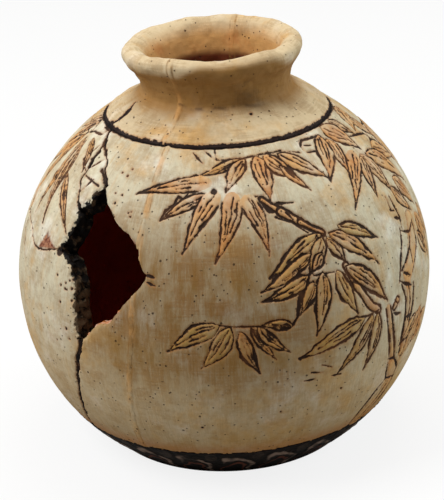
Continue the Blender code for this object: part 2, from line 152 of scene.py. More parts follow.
@dataclass(frozen=True)
class WallCurve:
    """The pot's outer wall: two superellipse quarters, then the collar and neck above."""

    radius: float = 75.0
    centre: float = 61.0
    upper_stretch: float = 0.97
    upper_power: float = 1.93
    lower_stretch: float = 0.99
    lower_power: float = 2.06
    wall: float = 7.5
    collar: float = 121.6
    foot: float = 16.0

    def radius_at(self, height: Array) -> Array:
        """Radius of the outer face: R * (1 - |h / stretch| ** p) ** (1 / p), h from the centre."""
        rise = (np.asarray(height, float) - self.centre) / self.radius
        stretch = np.where(rise >= 0.0, self.upper_stretch, self.lower_stretch)
        power = np.where(rise >= 0.0, self.upper_power, self.lower_power)
        left = np.maximum(1.0 - (np.abs(rise) / stretch) ** power, 1e-4)
        return self.radius * left ** (1.0 / power)

    def normal_at(self, height: Array) -> tuple[Array, Array]:
        """Outward normal of the profile, as (radial, vertical) parts."""
        slope = (self.radius_at(height + 0.02) - self.radius_at(height - 0.02)) / 0.04
        size = np.hypot(1.0, slope)
        return 1.0 / size, -slope / size

    def place(self, azimuth: Array, height: Array, depth: Array | float = 0.0) -> Array:
        """Positions this deep in the wall, straight in from the outer face.

        Args:
            azimuth: degrees from -Y.
            height: height of the point on the outer face.
            depth: distance in from the outer face; negative stands proud.

        Returns:
            (n, 3) positions.
        """
        radial, vertical = self.normal_at(height)
        reach = self.radius_at(height) - depth * radial
        angle = np.radians(azimuth)
        return np.stack(
            [reach * np.sin(angle), -reach * np.cos(angle), height - depth * vertical], axis=-1
        )

    def normal(self, azimuth: Array, height: Array) -> Array:
        """(n, 3) outward normals of the outer face."""
        radial, vertical = self.normal_at(height)
        angle = np.radians(azimuth)
        return np.stack([radial * np.sin(angle), -radial * np.cos(angle), vertical], axis=-1)

    def length(self, start: Array, end: Array) -> Array:
        """Length of a step between (azimuth, height) pairs, measured on the wall."""
        middle = 0.5 * (start[:, 1] + end[:, 1])
        east = np.radians(end[:, 0] - start[:, 0]) * self.radius_at(middle)
        north = (end[:, 1] - start[:, 1]) / self.normal_at(middle)[0]
        return np.hypot(east, north)


@dataclass(frozen=True)
class NeckCurve:
    """The neck's closed section as (radius, height), from the collar round the rim to the inside."""

    section: tuple[tuple[float, float], ...] = (
        (40.1, 121.7), (36.6, 124.0), (33.4, 125.9), (29.2, 128.4), (27.0, 130.2), (26.5, 132.0),
        (26.9, 135.0), (28.3, 138.6), (30.4, 141.6), (31.4, 144.4), (30.6, 146.4), (27.9, 147.4),
        (25.0, 145.8), (22.9, 142.0), (21.4, 137.0), (20.8, 131.0), (21.4, 125.4), (24.4, 121.4),
        (30.0, 118.6), (36.0, 115.4),
    )
    wave_start: float = 128.0
    wave_top: float = 147.4
    waves: tuple[tuple[float, int, float], ...] = ((0.75, 1, 120.0), (0.45, 2, 30.0), (0.25, 5, 10.0))
    lean: tuple[float, float] = (-0.8, -0.6)

    def smooth_section(self, count: int) -> Array:
        """The section through its points on a Catmull-Rom curve, evenly spaced, as (count, 2)."""
        corners = np.array(self.section)
        padded = np.vstack([2 * corners[0] - corners[1], corners, 2 * corners[-1] - corners[-2]])
        part = np.linspace(0.0, 1.0, 24, endpoint=False)[:, None]
        runs = []
        for a, b, c, d in zip(padded, padded[1:], padded[2:], padded[3:]):
            curve = 2 * b + (c - a) * part + (2 * a - 5 * b + 4 * c - d) * part**2
            runs.append(0.5 * (curve + (3 * b - a - 3 * c + d) * part**3))
        fine = np.vstack([*runs, corners[-1:]])
        reach = np.concatenate([[0.0], np.cumsum(np.linalg.norm(np.diff(fine, axis=0), axis=1))])
        want = np.linspace(0.0, reach[-1], count)
        return np.stack([np.interp(want, reach, fine[:, 0]), np.interp(want, reach, fine[:, 1])], axis=1)

    def shape(self, azimuth: Array, radius: Array, height: Array) -> Array:
        """Places section points round the axis, with the pinched rim's waves and the lean.

        Formula: the height gains a sum of cosines of the azimuth, growing with the square
        of the rise above the waist, and the whole point shifts sideways with the rise.
        """
        rise = np.clip((height - self.wave_start) / (self.wave_top - self.wave_start), 0.0, 1.0)
        wave = sum(size * np.cos(np.radians(lobes * (azimuth - start))) for size, lobes, start in self.waves)
        angle = np.radians(azimuth)
        return np.stack(
            [
                radius * np.sin(angle) + self.lean[0] * rise,
                -radius * np.cos(angle) + self.lean[1] * rise,
                height + wave * rise**2,
            ],
            axis=-1,
        )


@dataclass(frozen=True)
class WallLines:
    """Joints, cracks and the broken edge, as (azimuth, height) lines on the outer face."""

    fork: Pairs = field(default_factory=lambda: [(-23.3, 118.4)])
    top: Pairs = field(default_factory=lambda: [(-7.2, 109.2)])
    corner: Pairs = field(default_factory=lambda: [(-15.1, 87.4)])
    bottom: Pairs = field(default_factory=lambda: [(-3.6, 59.0)])
    splinter_foot: Pairs = field(default_factory=lambda: [(-14.0, 101.3)])
    seam_upper: Pairs = field(default_factory=lambda: [(12.8, 94.4), (13.0, 121.6)])
    seam_lower: Pairs = field(default_factory=lambda: [(8.0, 16.0), (8.0, 20.0), (13.0, 65.0), (12.7, 79.6)])
    edge_top_right: Pairs = field(default_factory=lambda: [
        (-3.2, 105.1), (1.3, 101.7), (4.5, 99.6), (7.9, 98.1), (11.0, 96.5),
    ])
    edge_right_corner: Pairs = field(default_factory=lambda: [
        (13.8, 81.5), (15.7, 84.3), (16.1, 86.3), (14.7, 88.2), (13.5, 90.4),
    ])
    edge_lower_right: Pairs = field(default_factory=lambda: [
        (-0.5, 63.1), (0.9, 65.8), (2.9, 67.4), (6.0, 69.3), (8.1, 72.6), (10.1, 75.8),
    ])
    edge_lower_left: Pairs = field(default_factory=lambda: [
        (-4.8, 65.3), (-5.8, 73.7), (-6.4, 78.6), (-9.1, 83.5), (-11.8, 86.5),
    ])
    edge_upper_left: Pairs = field(default_factory=lambda: [(-13.8, 91.1), (-12.3, 94.1), (-12.2, 97.6)])
    edge_splinter: Pairs = field(default_factory=lambda: [(-11.7, 102.2), (-9.7, 103.5), (-9.4, 106.2)])
    top_crack: Pairs = field(default_factory=lambda: [(-12.5, 114.2), (-18.1, 116.9)])
    top_crack_end: Pairs = field(default_factory=lambda: [(-30.0, 121.6)])
    splinter_crack: Pairs = field(default_factory=lambda: [
        (-16.5, 103.6), (-18.9, 106.0), (-20.7, 108.8), (-20.8, 111.6), (-22.5, 114.1), (-21.8, 116.1),
    ])
    left_crack: Pairs = field(default_factory=lambda: [
        (-163.0, 86.0), (-130.0, 88.0), (-104.0, 85.0), (-80.0, 89.0), (-60.0, 86.0),
        (-44.3, 88.3), (-36.1, 86.8), (-30.7, 83.4), (-26.5, 83.3),
    ])
    bottom_crack: Pairs = field(default_factory=lambda: [(-16.4, 16.0), (-9.6, 34.6), (-7.2, 45.5),
                                                         (-5.6, 51.5)])
    back_seam: float = 197.0
    neck_seam_front: float = 10.0
    neck_seam_back: float = 200.0


# ---------------------------------------------------------------- the incised drawing


@dataclass(frozen=True)
class Leaf:
    """One incised bamboo leaf, from its stalk end to its tip."""

    base_azimuth: float
    base_height: float
    tip_azimuth: float
    tip_height: float
    width: float
    green: float = 0.0
    line: float = 0.36
    open_base: bool = False


@dataclass(frozen=True)
class Stroke:
    """One incised line. With a width it is a cane drawn by its two edges."""

    points: tuple[tuple[float, float], ...]
    line: float = 0.36
    width: float = 0.0


FRONT_LEAVES = (
    Leaf(48.9, 118.2, 29.6, 114.7, 3.9, 0.6), Leaf(48.8, 118.3, 39.8, 110.4, 4.9, 0.1, 0.3),
    Leaf(53.8, 118.8, 54.7, 107.0, 6.2), Leaf(57.4, 118.6, 68.3, 110.5, 6.2),
    Leaf(62.5, 115.6, 70.2, 107.8, 3.2), Leaf(64.0, 118.5, 80.2, 109.3, 5.6, 0.2),
    Leaf(34.8, 113.2, 7.2, 108.8, 6.0, 0.0, 0.36, True), Leaf(34.4, 109.9, 18.2, 102.5, 4.5, 0.1),
    Leaf(36.8, 110.8, 26.4, 93.8, 6.4, 0.0, 0.34, True), Leaf(46.3, 109.4, 51.0, 92.1, 5.8, 0.0, 0.34, True),
    Leaf(42.6, 110.4, 35.7, 91.0, 6.8, 0.0, 0.34, True), Leaf(68.0, 95.4, 50.3, 85.2, 6.4, 0.9, 0.42),
    Leaf(63.7, 90.8, 47.5, 81.2, 4.4, 0.5, 0.42), Leaf(69.4, 94.0, 73.5, 85.0, 4.6, 0.7, 0.4),
    Leaf(70.7, 95.1, 84.9, 81.0, 5.6, 0.4, 0.42), Leaf(68.0, 94.3, 61.5, 84.1, 5.5, 0.7, 0.4),
    Leaf(74.3, 96.2, 87.9, 88.1, 4.8, 1.0, 0.5), Leaf(66.6, 89.9, 62.4, 84.7, 4.0, 0.3, 0.4),
    Leaf(61.3, 84.0, 47.4, 78.2, 4.9, 0.7, 0.45), Leaf(69.8, 83.6, 74.7, 67.3, 5.4, 0.8, 0.4),
    Leaf(62.2, 82.1, 57.3, 72.3, 4.4, 0.5, 0.45), Leaf(73.1, 84.0, 85.9, 66.8, 6.4, 0.4, 0.45),
    Leaf(65.5, 84.3, 61.6, 63.9, 5.8, 0.6, 0.42), Leaf(55.1, 69.0, 47.0, 70.8, 3.6, 0.7),
    Leaf(44.3, 70.0, 50.4, 57.9, 2.6, 0.3), Leaf(45.9, 70.1, 54.1, 59.7, 3.8, 0.4),
    Leaf(41.2, 69.1, 46.1, 53.3, 4.8, 0.3, 0.5), Leaf(39.1, 70.7, 31.2, 56.5, 6.6, 1.0, 0.32),
    Leaf(36.1, 71.5, 22.6, 61.9, 6.0, 1.0, 0.32), Leaf(76.7, 65.0, 56.6, 56.4, 6.6, 0.9, 0.42),
    Leaf(79.8, 64.9, 67.9, 47.2, 5.0, 0.7, 0.4), Leaf(81.8, 64.6, 77.0, 44.5, 5.2, 0.7, 0.4),
    Leaf(131.0, 119.9, 116.1, 114.7, 8.0, 0.1), Leaf(124.2, 116.9, 128.0, 108.6, 6.0, 0.3),
    Leaf(105.5, 120.8, 112.7, 114.8, 5.0, 0.2), Leaf(115.9, 109.4, 128.2, 100.1, 8.0, 0.2),
    Leaf(107.4, 109.8, 122.7, 93.4, 8.0, 0.2), Leaf(112.0, 99.5, 118.1, 87.0, 7.4, 0.2),
    Leaf(106.3, 98.2, 112.4, 87.3, 5.2, 0.2), Leaf(103.2, 110.5, 105.6, 97.3, 7.0, 0.1),
    Leaf(102.4, 110.2, 96.2, 98.6, 5.1, 0.1), Leaf(93.0, 118.0, 90.3, 107.9, 5.8),
    Leaf(100.5, 112.4, 83.9, 98.7, 6.4, 0.0, 0.36, True), Leaf(96.3, 120.8, 106.7, 111.4, 8.4),
    Leaf(90.8, 119.6, 79.8, 108.0, 6.6, 0.1), Leaf(121.0, 86.0, 122.0, 72.0, 6.0, 0.2),
    Leaf(114.1, 85.6, 117.5, 66.5, 8.5, 0.2), Leaf(109.9, 80.6, 114.0, 70.3, 5.6, 0.1),
    Leaf(112.3, 49.9, 97.4, 43.2, 7.5, 0.2), Leaf(105.8, 54.8, 94.3, 39.0, 7.0, 0.2),
    Leaf(101.1, 54.2, 92.1, 46.3, 4.6, 0.3),
)
LEFT_LEAVES = (
    Leaf(-45.2, 120.4, -57.1, 108.6, 4.5, 0.2, 0.28), Leaf(-46.7, 121.2, -60.0, 114.6, 4.0, 0.2, 0.28),
    Leaf(-43.8, 116.7, -49.2, 93.4, 4.2, 0.2, 0.28), Leaf(-44.6, 116.0, -58.0, 99.6, 4.0, 0.1, 0.28),
    Leaf(-40.2, 116.5, -38.9, 91.3, 3.6, 0.3, 0.28), Leaf(-37.9, 115.9, -29.4, 91.3, 3.8, 0.1, 0.28),
    Leaf(-36.2, 114.1, -31.7, 98.3, 2.8, 0.5, 0.28), Leaf(-31.5, 107.4, -14.9, 92.6, 3.2, 0.2, 0.28),
    Leaf(-34.0, 117.5, -22.6, 109.9, 3.2, 0.5, 0.28), Leaf(-51.0, 97.0, -46.5, 87.0, 4.2, 0.2, 0.28),
)
FRONT_STROKES = (
    Stroke(((36.0, 120.9), (36.6, 118.6), (48.8, 118.6), (55.6, 119.0), (66.8, 118.9), (74.5, 117.4))),
    Stroke(((26.0, 120.4), (31.0, 117.8)), 0.26), Stroke(((31.0, 120.9), (36.0, 118.8)), 0.26),
    Stroke(((43.7, 110.2), (46.5, 108.4), (50.6, 108.8)), 0.3),
    Stroke(((51.8, 107.8), (54.4, 105.9), (57.4, 103.6)), 0.6, 2.0),
    Stroke(((57.2, 103.8), (62.8, 99.8)), 0.62, 2.7),
    Stroke(((62.6, 100.0), (68.6, 95.6)), 0.6, 2.1), Stroke(((58.6, 103.4), (60.4, 101.2)), 0.4),
    Stroke(((55.0, 102.6), (60.0, 100.4), (64.0, 96.6)), 0.45),
    Stroke(((51.6, 106.6), (53.6, 104.4), (56.0, 104.0)), 0.6),
    Stroke(((55.1, 106.4), (62.2, 105.6)), 0.45),
    Stroke(((68.9, 95.1), (66.2, 90.2), (62.3, 83.9)), 0.55), Stroke(((62.3, 83.9), (68.9, 83.4)), 0.5),
    Stroke(((61.5, 83.6), (57.6, 77.9), (56.7, 71.9), (55.1, 69.3)), 0.75),
    Stroke(((55.1, 69.3), (45.7, 70.5), (40.4, 70.9), (31.3, 72.4)), 0.36),
    Stroke(((73.2, 84.2), (75.2, 77.0), (79.4, 67.9), (82.0, 65.6)), 0.5, 2.6),
    Stroke(((82.0, 65.6), (77.9, 65.1), (73.2, 66.1)), 0.4),
    Stroke(((108.0, 86.0), (103.0, 78.5), (97.0, 71.5)), 0.0, 6.5),
    Stroke(((89.5, 42.0), (91.8, 36.0), (91.5, 31.0)), 0.0, 4.4),
    Stroke(((96.5, 69.0), (97.0, 62.0), (95.6, 55.0), (94.8, 43.0)), 0.0, 4.4),
    Stroke(((86.0, 64.4), (87.2, 55.0), (89.4, 43.0)), 0.0, 2.6),
    Stroke(((91.5, 31.0), (87.0, 24.0), (84.0, 17.0)), 0.0, 5.4),
    Stroke(((106.2, 116.3), (108.0, 115.1), (114.4, 114.0), (120.2, 112.6), (121.8, 110.5), (114.7, 108.9)),
           0.5),
    Stroke(((90.8, 119.6), (84.6, 119.6), (79.3, 119.9), (76.6, 118.7), (76.6, 117.6)), 0.6),
    Stroke(((77.8, 116.9), (80.4, 116.7), (83.2, 116.2)), 0.6), Stroke(((78.6, 118.6), (82.0, 118.2)), 0.3),
    Stroke(((100.0, 97.4), (99.4, 93.0), (98.9, 93.2), (100.9, 92.2)), 0.45),
    Stroke(((102.2, 97.0), (102.3, 89.4), (100.6, 85.5)), 0.45), Stroke(((99.5, 90.4), (102.3, 89.0)), 0.6),
    Stroke(((99.7, 86.4), (97.6, 81.9), (95.1, 78.1), (92.0, 70.7)), 0.6),
    Stroke(((108.8, 85.4), (107.5, 78.6), (103.5, 74.1), (99.8, 70.4)), 0.45),
    Stroke(((104.2, 83.4), (101.6, 79.4), (96.8, 75.6), (94.1, 74.0)), 0.5),
    Stroke(((101.6, 79.4), (100.9, 73.6)), 0.4),
    Stroke(((99.6, 86.0), (101.2, 84.8), (104.6, 83.3), (107.5, 84.6)), 0.55),
    Stroke(((92.3, 71.2), (94.9, 69.0), (98.9, 66.4)), 0.65), Stroke(((95.3, 72.7), (98.4, 70.4)), 0.6),
    Stroke(((93.2, 69.4), (94.8, 63.2), (94.1, 56.5), (93.3, 50.4), (93.3, 43.2)), 0.85),
    Stroke(((99.8, 67.0), (98.8, 60.0), (97.0, 54.1), (96.8, 48.6), (96.4, 41.3)), 0.85),
    Stroke(((96.4, 68.4), (97.0, 62.0), (95.6, 55.0)), 0.4), Stroke(((94.4, 56.6), (98.2, 55.6)), 0.6),
    Stroke(((88.6, 63.2), (90.4, 65.2)), 0.5, 2.2), Stroke(((89.0, 65.8), (90.8, 63.2)), 0.3),
    Stroke(((88.4, 61.3), (89.6, 60.4), (91.5, 59.6)), 0.6),
    Stroke(((85.0, 64.4), (85.9, 56.2), (87.6, 46.6), (88.0, 43.0)), 0.6),
    Stroke(((87.0, 64.4), (88.3, 54.9), (90.6, 43.3), (91.0, 42.0)), 0.75),
    Stroke(((87.6, 43.4), (90.8, 42.4)), 0.6),
    Stroke(((87.8, 42.0), (88.6, 37.0), (89.6, 33.6)), 0.6),
    Stroke(((91.1, 42.1), (94.6, 36.6), (94.4, 30.0)), 0.6),
    Stroke(((89.3, 34.7), (87.2, 31.8), (84.9, 29.1), (82.4, 23.0), (80.6, 16.6)), 0.7),
    Stroke(((94.4, 31.6), (93.4, 27.0), (90.6, 22.0), (88.0, 16.6)), 0.8),
    Stroke(((89.4, 34.4), (94.0, 32.6)), 0.5),
    Stroke(((91.0, 31.0), (88.6, 25.6), (85.0, 18.0)), 0.5),
    Stroke(((90.2, 27.6), (86.8, 22.6), (83.6, 17.0)), 0.4),
    Stroke(((26.6, 110.6), (25.0, 108.9), (23.0, 109.4), (22.0, 107.5), (19.6, 105.7), (18.0, 102.6)), 0.55),
    Stroke(((34.0, 112.6), (24.0, 111.8), (18.0, 110.6)), 0.45),
    Stroke(((-29.6, 120.6), (-31.0, 119.2), (-39.1, 118.6), (-44.5, 117.0), (-50.0, 118.2)), 0.5),
    Stroke(((-41.0, 118.2), (-45.0, 120.6), (-52.0, 120.0)), 0.34),
)
SCRATCHES = (
    Stroke(((-15.2, 115.0), (-19.9, 111.8)), 0.3), Stroke(((-19.6, 109.6), (-9.8, 108.4)), 0.3),
    Stroke(((-17.3, 105.3), (-14.0, 109.6)), 0.34),
    Stroke(((-24.8, 117.4), (-27.6, 112.6), (-21.6, 110.6)), 0.42),
    Stroke(((-44.6, 88.3), (-44.9, 83.6), (-41.3, 81.6), (-38.5, 77.8)), 0.3),
    Stroke(((60.0, 50.4), (63.4, 49.4)), 0.3), Stroke(((58.0, 47.6), (61.0, 47.4)), 0.3),
    Stroke(((63.0, 52.4), (66.0, 50.6)), 0.25),
    Stroke(((66.0, 46.8), (69.0, 46.6)), 0.25), Stroke(((16.0, 86.6), (18.6, 86.2)), 0.7),
    Stroke(((16.6, 84.6), (19.0, 83.8)), 0.35),
)
COLLAR_MARKS = (
    Stroke(((-31.0, 122.0), (-29.2, 124.2), (-30.4, 126.4), (-33.6, 128.0)), 0.85),
)
BLOTS = ((-32.6, 121.9, 2.0), (35.6, 110.9, 1.0), (94.0, 111.1, 0.55), (-15.4, 87.0, 1.5), (42.6, 105.6, 0.8))
PITS = (
    (-12.0, 76.7, 0.45), (-10.0, 78.1, 0.4), (-8.6, 79.3, 0.45), (-7.6, 80.1, 0.6), (-9.3, 76.0, 0.35),
    (-7.4, 77.0, 0.5), (-7.0, 73.0, 0.4), (-13.4, 56.0, 0.4), (-7.9, 58.6, 0.5), (1.3, 114.8, 0.35),
    (7.6, 104.0, 0.3), (7.8, 102.7, 0.3), (6.7, 103.6, 0.3), (2.0, 107.9, 0.35), (-0.5, 103.0, 0.4),
    (1.8, 101.8, 0.45), (0.4, 105.4, 0.5), (-2.4, 113.4, 0.4), (0.6, 112.9, 0.4),
    (-1.0, 108.0, 0.3), (4.2, 68.4, 0.4), (-10.0, 76.0, 0.5), (-11.4, 71.0, 0.4), (60.4, 128.2, 0.5),
    (-14.0, 79.4, 0.4), (-8.9, 62.2, 0.5), (70.0, 40.0, 0.5), (52.0, 36.0, 0.4), (30.0, 31.0, 0.5),
)


def spray(azimuth: float, height: float, spread: float, count: int, reach: float) -> list[Leaf]:
    """A fan of leaves that hangs from one node, for the side the opening faces away from.

    Args:
        azimuth: node's azimuth.
        height: node's height.
        spread: half angle of the fan in degrees.
        count: number of leaves.
        reach: length of the middle leaf.

    Returns:
        The leaves, from left to right.
    """
    fan = np.linspace(-spread, spread, count)
    size = reach * (0.78 + 0.22 * np.cos(np.radians(fan * 1.3 + 40.0 * (np.arange(count) % 2))))
    east = np.degrees(size * np.sin(np.radians(fan)) / 66.0)
    north = size * np.cos(np.radians(fan))
    return [
        Leaf(azimuth + 0.15 * e, height, azimuth + e, height - n, 5.0 + 0.6 * (i % 3), 0.3 * (i % 3))
        for i, (e, n) in enumerate(zip(east, north))
    ]


@dataclass
class Marks:
    """What the drawing leaves at each spot on the wall."""

    ink: Array
    leaf: Array
    green: Array
    cut: Array


@dataclass
class Drawing:
    """The incised bamboo and the scratched lines, all measured on the wall in millimetres."""

    curve: WallCurve
    neck: NeckCurve
    leaves: list[Leaf]
    strokes: list[Stroke]
    tip_power: float = 1.42
    base_power: float = 0.78
    vein_line: float = 0.22
    reach: float = 4.0

    def on_wall(self, points: Array) -> Array:
        """Positions of (azimuth, height) points on the belly, or on the collar above it."""
        points = np.asarray(points, float)
        section = np.array(self.neck.section[:6])
        collar = np.interp(points[:, 1], section[:, 1], section[:, 0])
        radius = np.where(points[:, 1] > self.curve.collar, collar, self.curve.radius_at(points[:, 1]))
        angle = np.radians(points[:, 0])
        return np.stack([radius * np.sin(angle), -radius * np.cos(angle), points[:, 1]], axis=-1)

    def chain(self, stroke: Stroke) -> Array:
        """The stroke's corners on the wall, with short steps between them."""
        points = np.array(stroke.points)
        steps = np.linspace(0.0, 1.0, 5)[:, None]
        runs = [a + (b - a) * steps[:-1] for a, b in zip(points, points[1:])]
        return self.on_wall(np.vstack([*runs, points[-1:]]))

    def leaf_outline(self, along: Array, base_power: float) -> Array:
        """Half width of a leaf of unit width: s ** a * (1 - s) ** b, scaled to peak at one half."""
        peak = base_power / (base_power + self.tip_power)
        top = peak**base_power * (1.0 - peak) ** self.tip_power
        part = np.clip(along, 0.0, 1.0)
        return 0.5 * part**base_power * (1.0 - part) ** self.tip_power / top

    def veins_of(self, leaf: Leaf) -> list[tuple[float, float, float, float]]:
        """Two to four veins for a leaf as (place across, slant, start, end), the same every time."""
        pick = np.random.default_rng(int(abs(leaf.tip_azimuth) * 10.0 + leaf.tip_height * 13.0))
        middle = (pick.uniform(-0.15, 0.15), pick.uniform(-0.2, 0.2), 0.04, pick.uniform(0.7, 0.92))
        sides = [(0.45, pick.uniform(-0.5, 0.2), pick.uniform(0.05, 0.25), pick.uniform(0.45, 0.7))]
        sides.append((-0.45, pick.uniform(-0.2, 0.5), pick.uniform(0.05, 0.3), pick.uniform(0.4, 0.7)))
        return [middle, *sides[: 1 + int(leaf.width > 5.7)]]

    def vein(self, along: Array, side: Array, half: Array, wobble: Array, place: float, slant: float,
             start: float, end: float) -> Array:
        """Distance past the edge of one vein, a line that tapers at both ends."""
        line = self.vein_line * (1.0 + 0.8 * wobble)
        gap = np.abs(side - (place + slant * (along - 0.4)) * half) - line
        before = 2.0 * (1.0 - ease(start - 0.03, start + 0.03, along))
        return gap + before + 2.0 * ease(end - 0.05, end + 0.03, along)

    def add_leaf(self, marks: Marks, spots: Array, wobble: Array, leaf: Leaf) -> None:
        """Lays one leaf over the marks made so far: outline, three veins and fill."""
        base, tip = self.on_wall([(leaf.base_azimuth, leaf.base_height), (leaf.tip_azimuth, leaf.tip_height)])
        middle = 0.5 * (base + tip)
        length = np.linalg.norm(tip - base)
        near = np.flatnonzero(np.linalg.norm(spots - middle, axis=1) < 0.5 * length + self.reach)
        if not len(near):
            return
        axis = (tip - base) / length
        outward = middle * np.array([1.0, 1.0, 0.0]) + np.array([0.0, 0.0, middle[2] - self.curve.centre])
        across = np.cross(outward, axis)
        across /= np.linalg.norm(across)
        along = (spots[near] - base) @ axis / length
        side = (spots[near] - base) @ across + 0.35 * wobble[near]
        side += 0.05 * length * np.sin(np.pi * np.clip(along, 0.0, 1.0)) * math.sin(leaf.tip_azimuth * 7.0)
        half = leaf.width * self.leaf_outline(along, 0.42 if leaf.open_base else self.base_power)
        past = np.maximum(np.maximum(-along, along - 1.0), 0.0) * length
        edge = np.where(past > 0.0, np.hypot(np.abs(side), past), (np.abs(side) - half) * 0.94)
        swell = 0.62 + 0.5 * np.sin(np.pi * np.clip(along, 0.05, 0.95)) + 0.55 * wobble[near]
        outline = np.abs(edge) - leaf.line * np.maximum(swell, 0.45)
        if leaf.open_base:
            outline += 2.0 * (1.0 - ease(0.03, 0.2, along))
        veins = [self.vein(along, side, half, wobble[near], *vein) for vein in self.veins_of(leaf)]
        own = np.minimum.reduce([outline, *veins])
        inside = edge < 0.0
        marks.ink[near] = np.where(inside, own, np.minimum(marks.ink[near], own))
        marks.green[near] = np.where(inside, leaf.green, marks.green[near])
        marks.leaf[near] = np.where(inside, edge, np.minimum(marks.leaf[near], edge))

    def add_stroke(self, marks: Marks, spots: Array, wobble: Array, stroke: Stroke) -> None:
        """Cuts one line, or the two edges and the joint of a cane."""
        line = self.chain(stroke)
        low, high = line.min(axis=0) - self.reach - stroke.width, line.max(axis=0) + self.reach + stroke.width
        near = np.flatnonzero(np.all((spots > low) & (spots < high), axis=1))
        if not len(near):
            return
        gap, place = line_distance(spots[near], line)
        gap = gap + 0.25 * wobble[near]
        thin = 0.45 + 0.55 * np.sin(np.pi * np.clip(place, 0.08, 0.92))
        if stroke.width:
            rim = np.abs(gap - 0.5 * stroke.width) - stroke.line * 0.85
            inside = gap < 0.5 * stroke.width
            marks.ink[near] = np.where(inside, rim, np.minimum(marks.ink[near], rim))
            marks.leaf[near] = np.where(inside, gap - 0.5 * stroke.width, marks.leaf[near])
            marks.green[near] = np.where(inside, 0.15, marks.green[near])
        else:
            marks.ink[near] = np.minimum(marks.ink[near], gap - stroke.line * thin)

    def measure(self, spots: Array) -> Marks:
        """Distances of every spot to the nearest line and leaf edge.

        Args:
            spots: (n, 3) positions near the outer face.

        Returns:
            Marks: ink is the distance to the edge of the nearest line, below zero in it;
            leaf is the distance to the nearest leaf, below zero inside; cut is 0 to 1.
        """
        count = len(spots)
        marks = Marks(np.full(count, 9.0), np.full(count, 9.0), np.zeros(count), np.zeros(count))
        wobble = layered_noise(spots, 2.6, 2, 5)
        for stroke in self.strokes:
            self.add_stroke(marks, spots, wobble, stroke)
        for leaf in self.leaves:
            self.add_leaf(marks, spots, wobble, leaf)
        for azimuth, height, size in (*BLOTS, *PITS):
            centre = self.on_wall([(azimuth, height)])[0]
            gap = np.linalg.norm(spots - centre, axis=1) + 0.4 * size * wobble
            marks.ink = np.minimum(marks.ink, gap - size)
        marks.cut = 1.0 - ease(-0.35, 0.3, marks.ink)
        return marks


# ---------------------------------------------------------------- meshes


@dataclass
class Skin:
    """A mesh in the making: positions, faces and what is written on each vertex."""

    spots: Array
    faces: Array
    notes: Notes


def grid_faces(rows: int, columns: int, close_rows: bool = False, close_columns: bool = False) -> Array:
    """Quads of a grid whose vertex number is row * columns + column."""
    row = np.arange(rows if close_rows else rows - 1)[:, None]
    column = np.arange(columns if close_columns else columns - 1)[None, :]
    after_row = (row + 1) % rows
    after_column = (column + 1) % columns
    corners = [row * columns + column, row * columns + after_column]
    corners += [after_row * columns + after_column, after_row * columns + column]
    return np.stack([np.broadcast_to(c, (len(row), column.shape[1])).ravel() for c in corners], axis=1)


def triangles_of(quads: Array) -> Array:
    """Each quad as two triangles."""
    return np.vstack([quads[:, [0, 1, 2]], quads[:, [0, 2, 3]]])


def make_piece(name: str, skin: Skin, finish: Material, sharp: float = 50.0) -> Piece:
    """Writes a skin into a mesh object, with its notes as point attributes.

    Args:
        name: the piece's name.
        skin: positions in millimetres, faces all of one size, and notes.
        finish: its material.
        sharp: edges bent more than this many degrees stay crisp.

    Returns:
        The new object, at the origin.
    """
    sides = skin.faces.shape[1]
    mesh = bpy.data.meshes.new(name)
    mesh.vertices.add(len(skin.spots))
    mesh.vertices.foreach_set("co", (skin.spots * METRES).astype(np.float32).ravel())
    mesh.loops.add(skin.faces.size)
    mesh.loops.foreach_set("vertex_index", skin.faces.astype(np.int32).ravel())
    mesh.polygons.add(len(skin.faces))
    mesh.polygons.foreach_set("loop_start", np.arange(0, skin.faces.size, sides, dtype=np.int32))
    mesh.polygons.foreach_set("use_smooth", np.ones(len(skin.faces), bool))
    mesh.update(calc_edges=True)
    mesh.validate()
    for key, values in skin.notes.items():
        kind = "FLOAT_VECTOR" if values.ndim == 2 else "FLOAT"
        note = mesh.attributes.new(key, kind, "POINT")
        note.data.foreach_set("vector" if values.ndim == 2 else "value", values.astype(np.float32).ravel())
    mesh.set_sharp_from_angle(angle=math.radians(sharp))
    mesh.materials.append(finish)
    piece = bpy.data.objects.new(name, mesh)
    bpy.context.scene.collection.objects.link(piece)
    return piece


def settle(piece: Piece, slot: Slot, *nodes: str) -> Piece:
    """Makes the piece ride on the pot and stand for its CAD nodes."""
    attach(piece, BODY)
    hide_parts(*nodes)
    triangles = len(piece.data.loop_triangles) or len(piece.data.polygons)
    LOG.info("%s: %d triangles for %s", piece.name, triangles, nodes)
    return piece


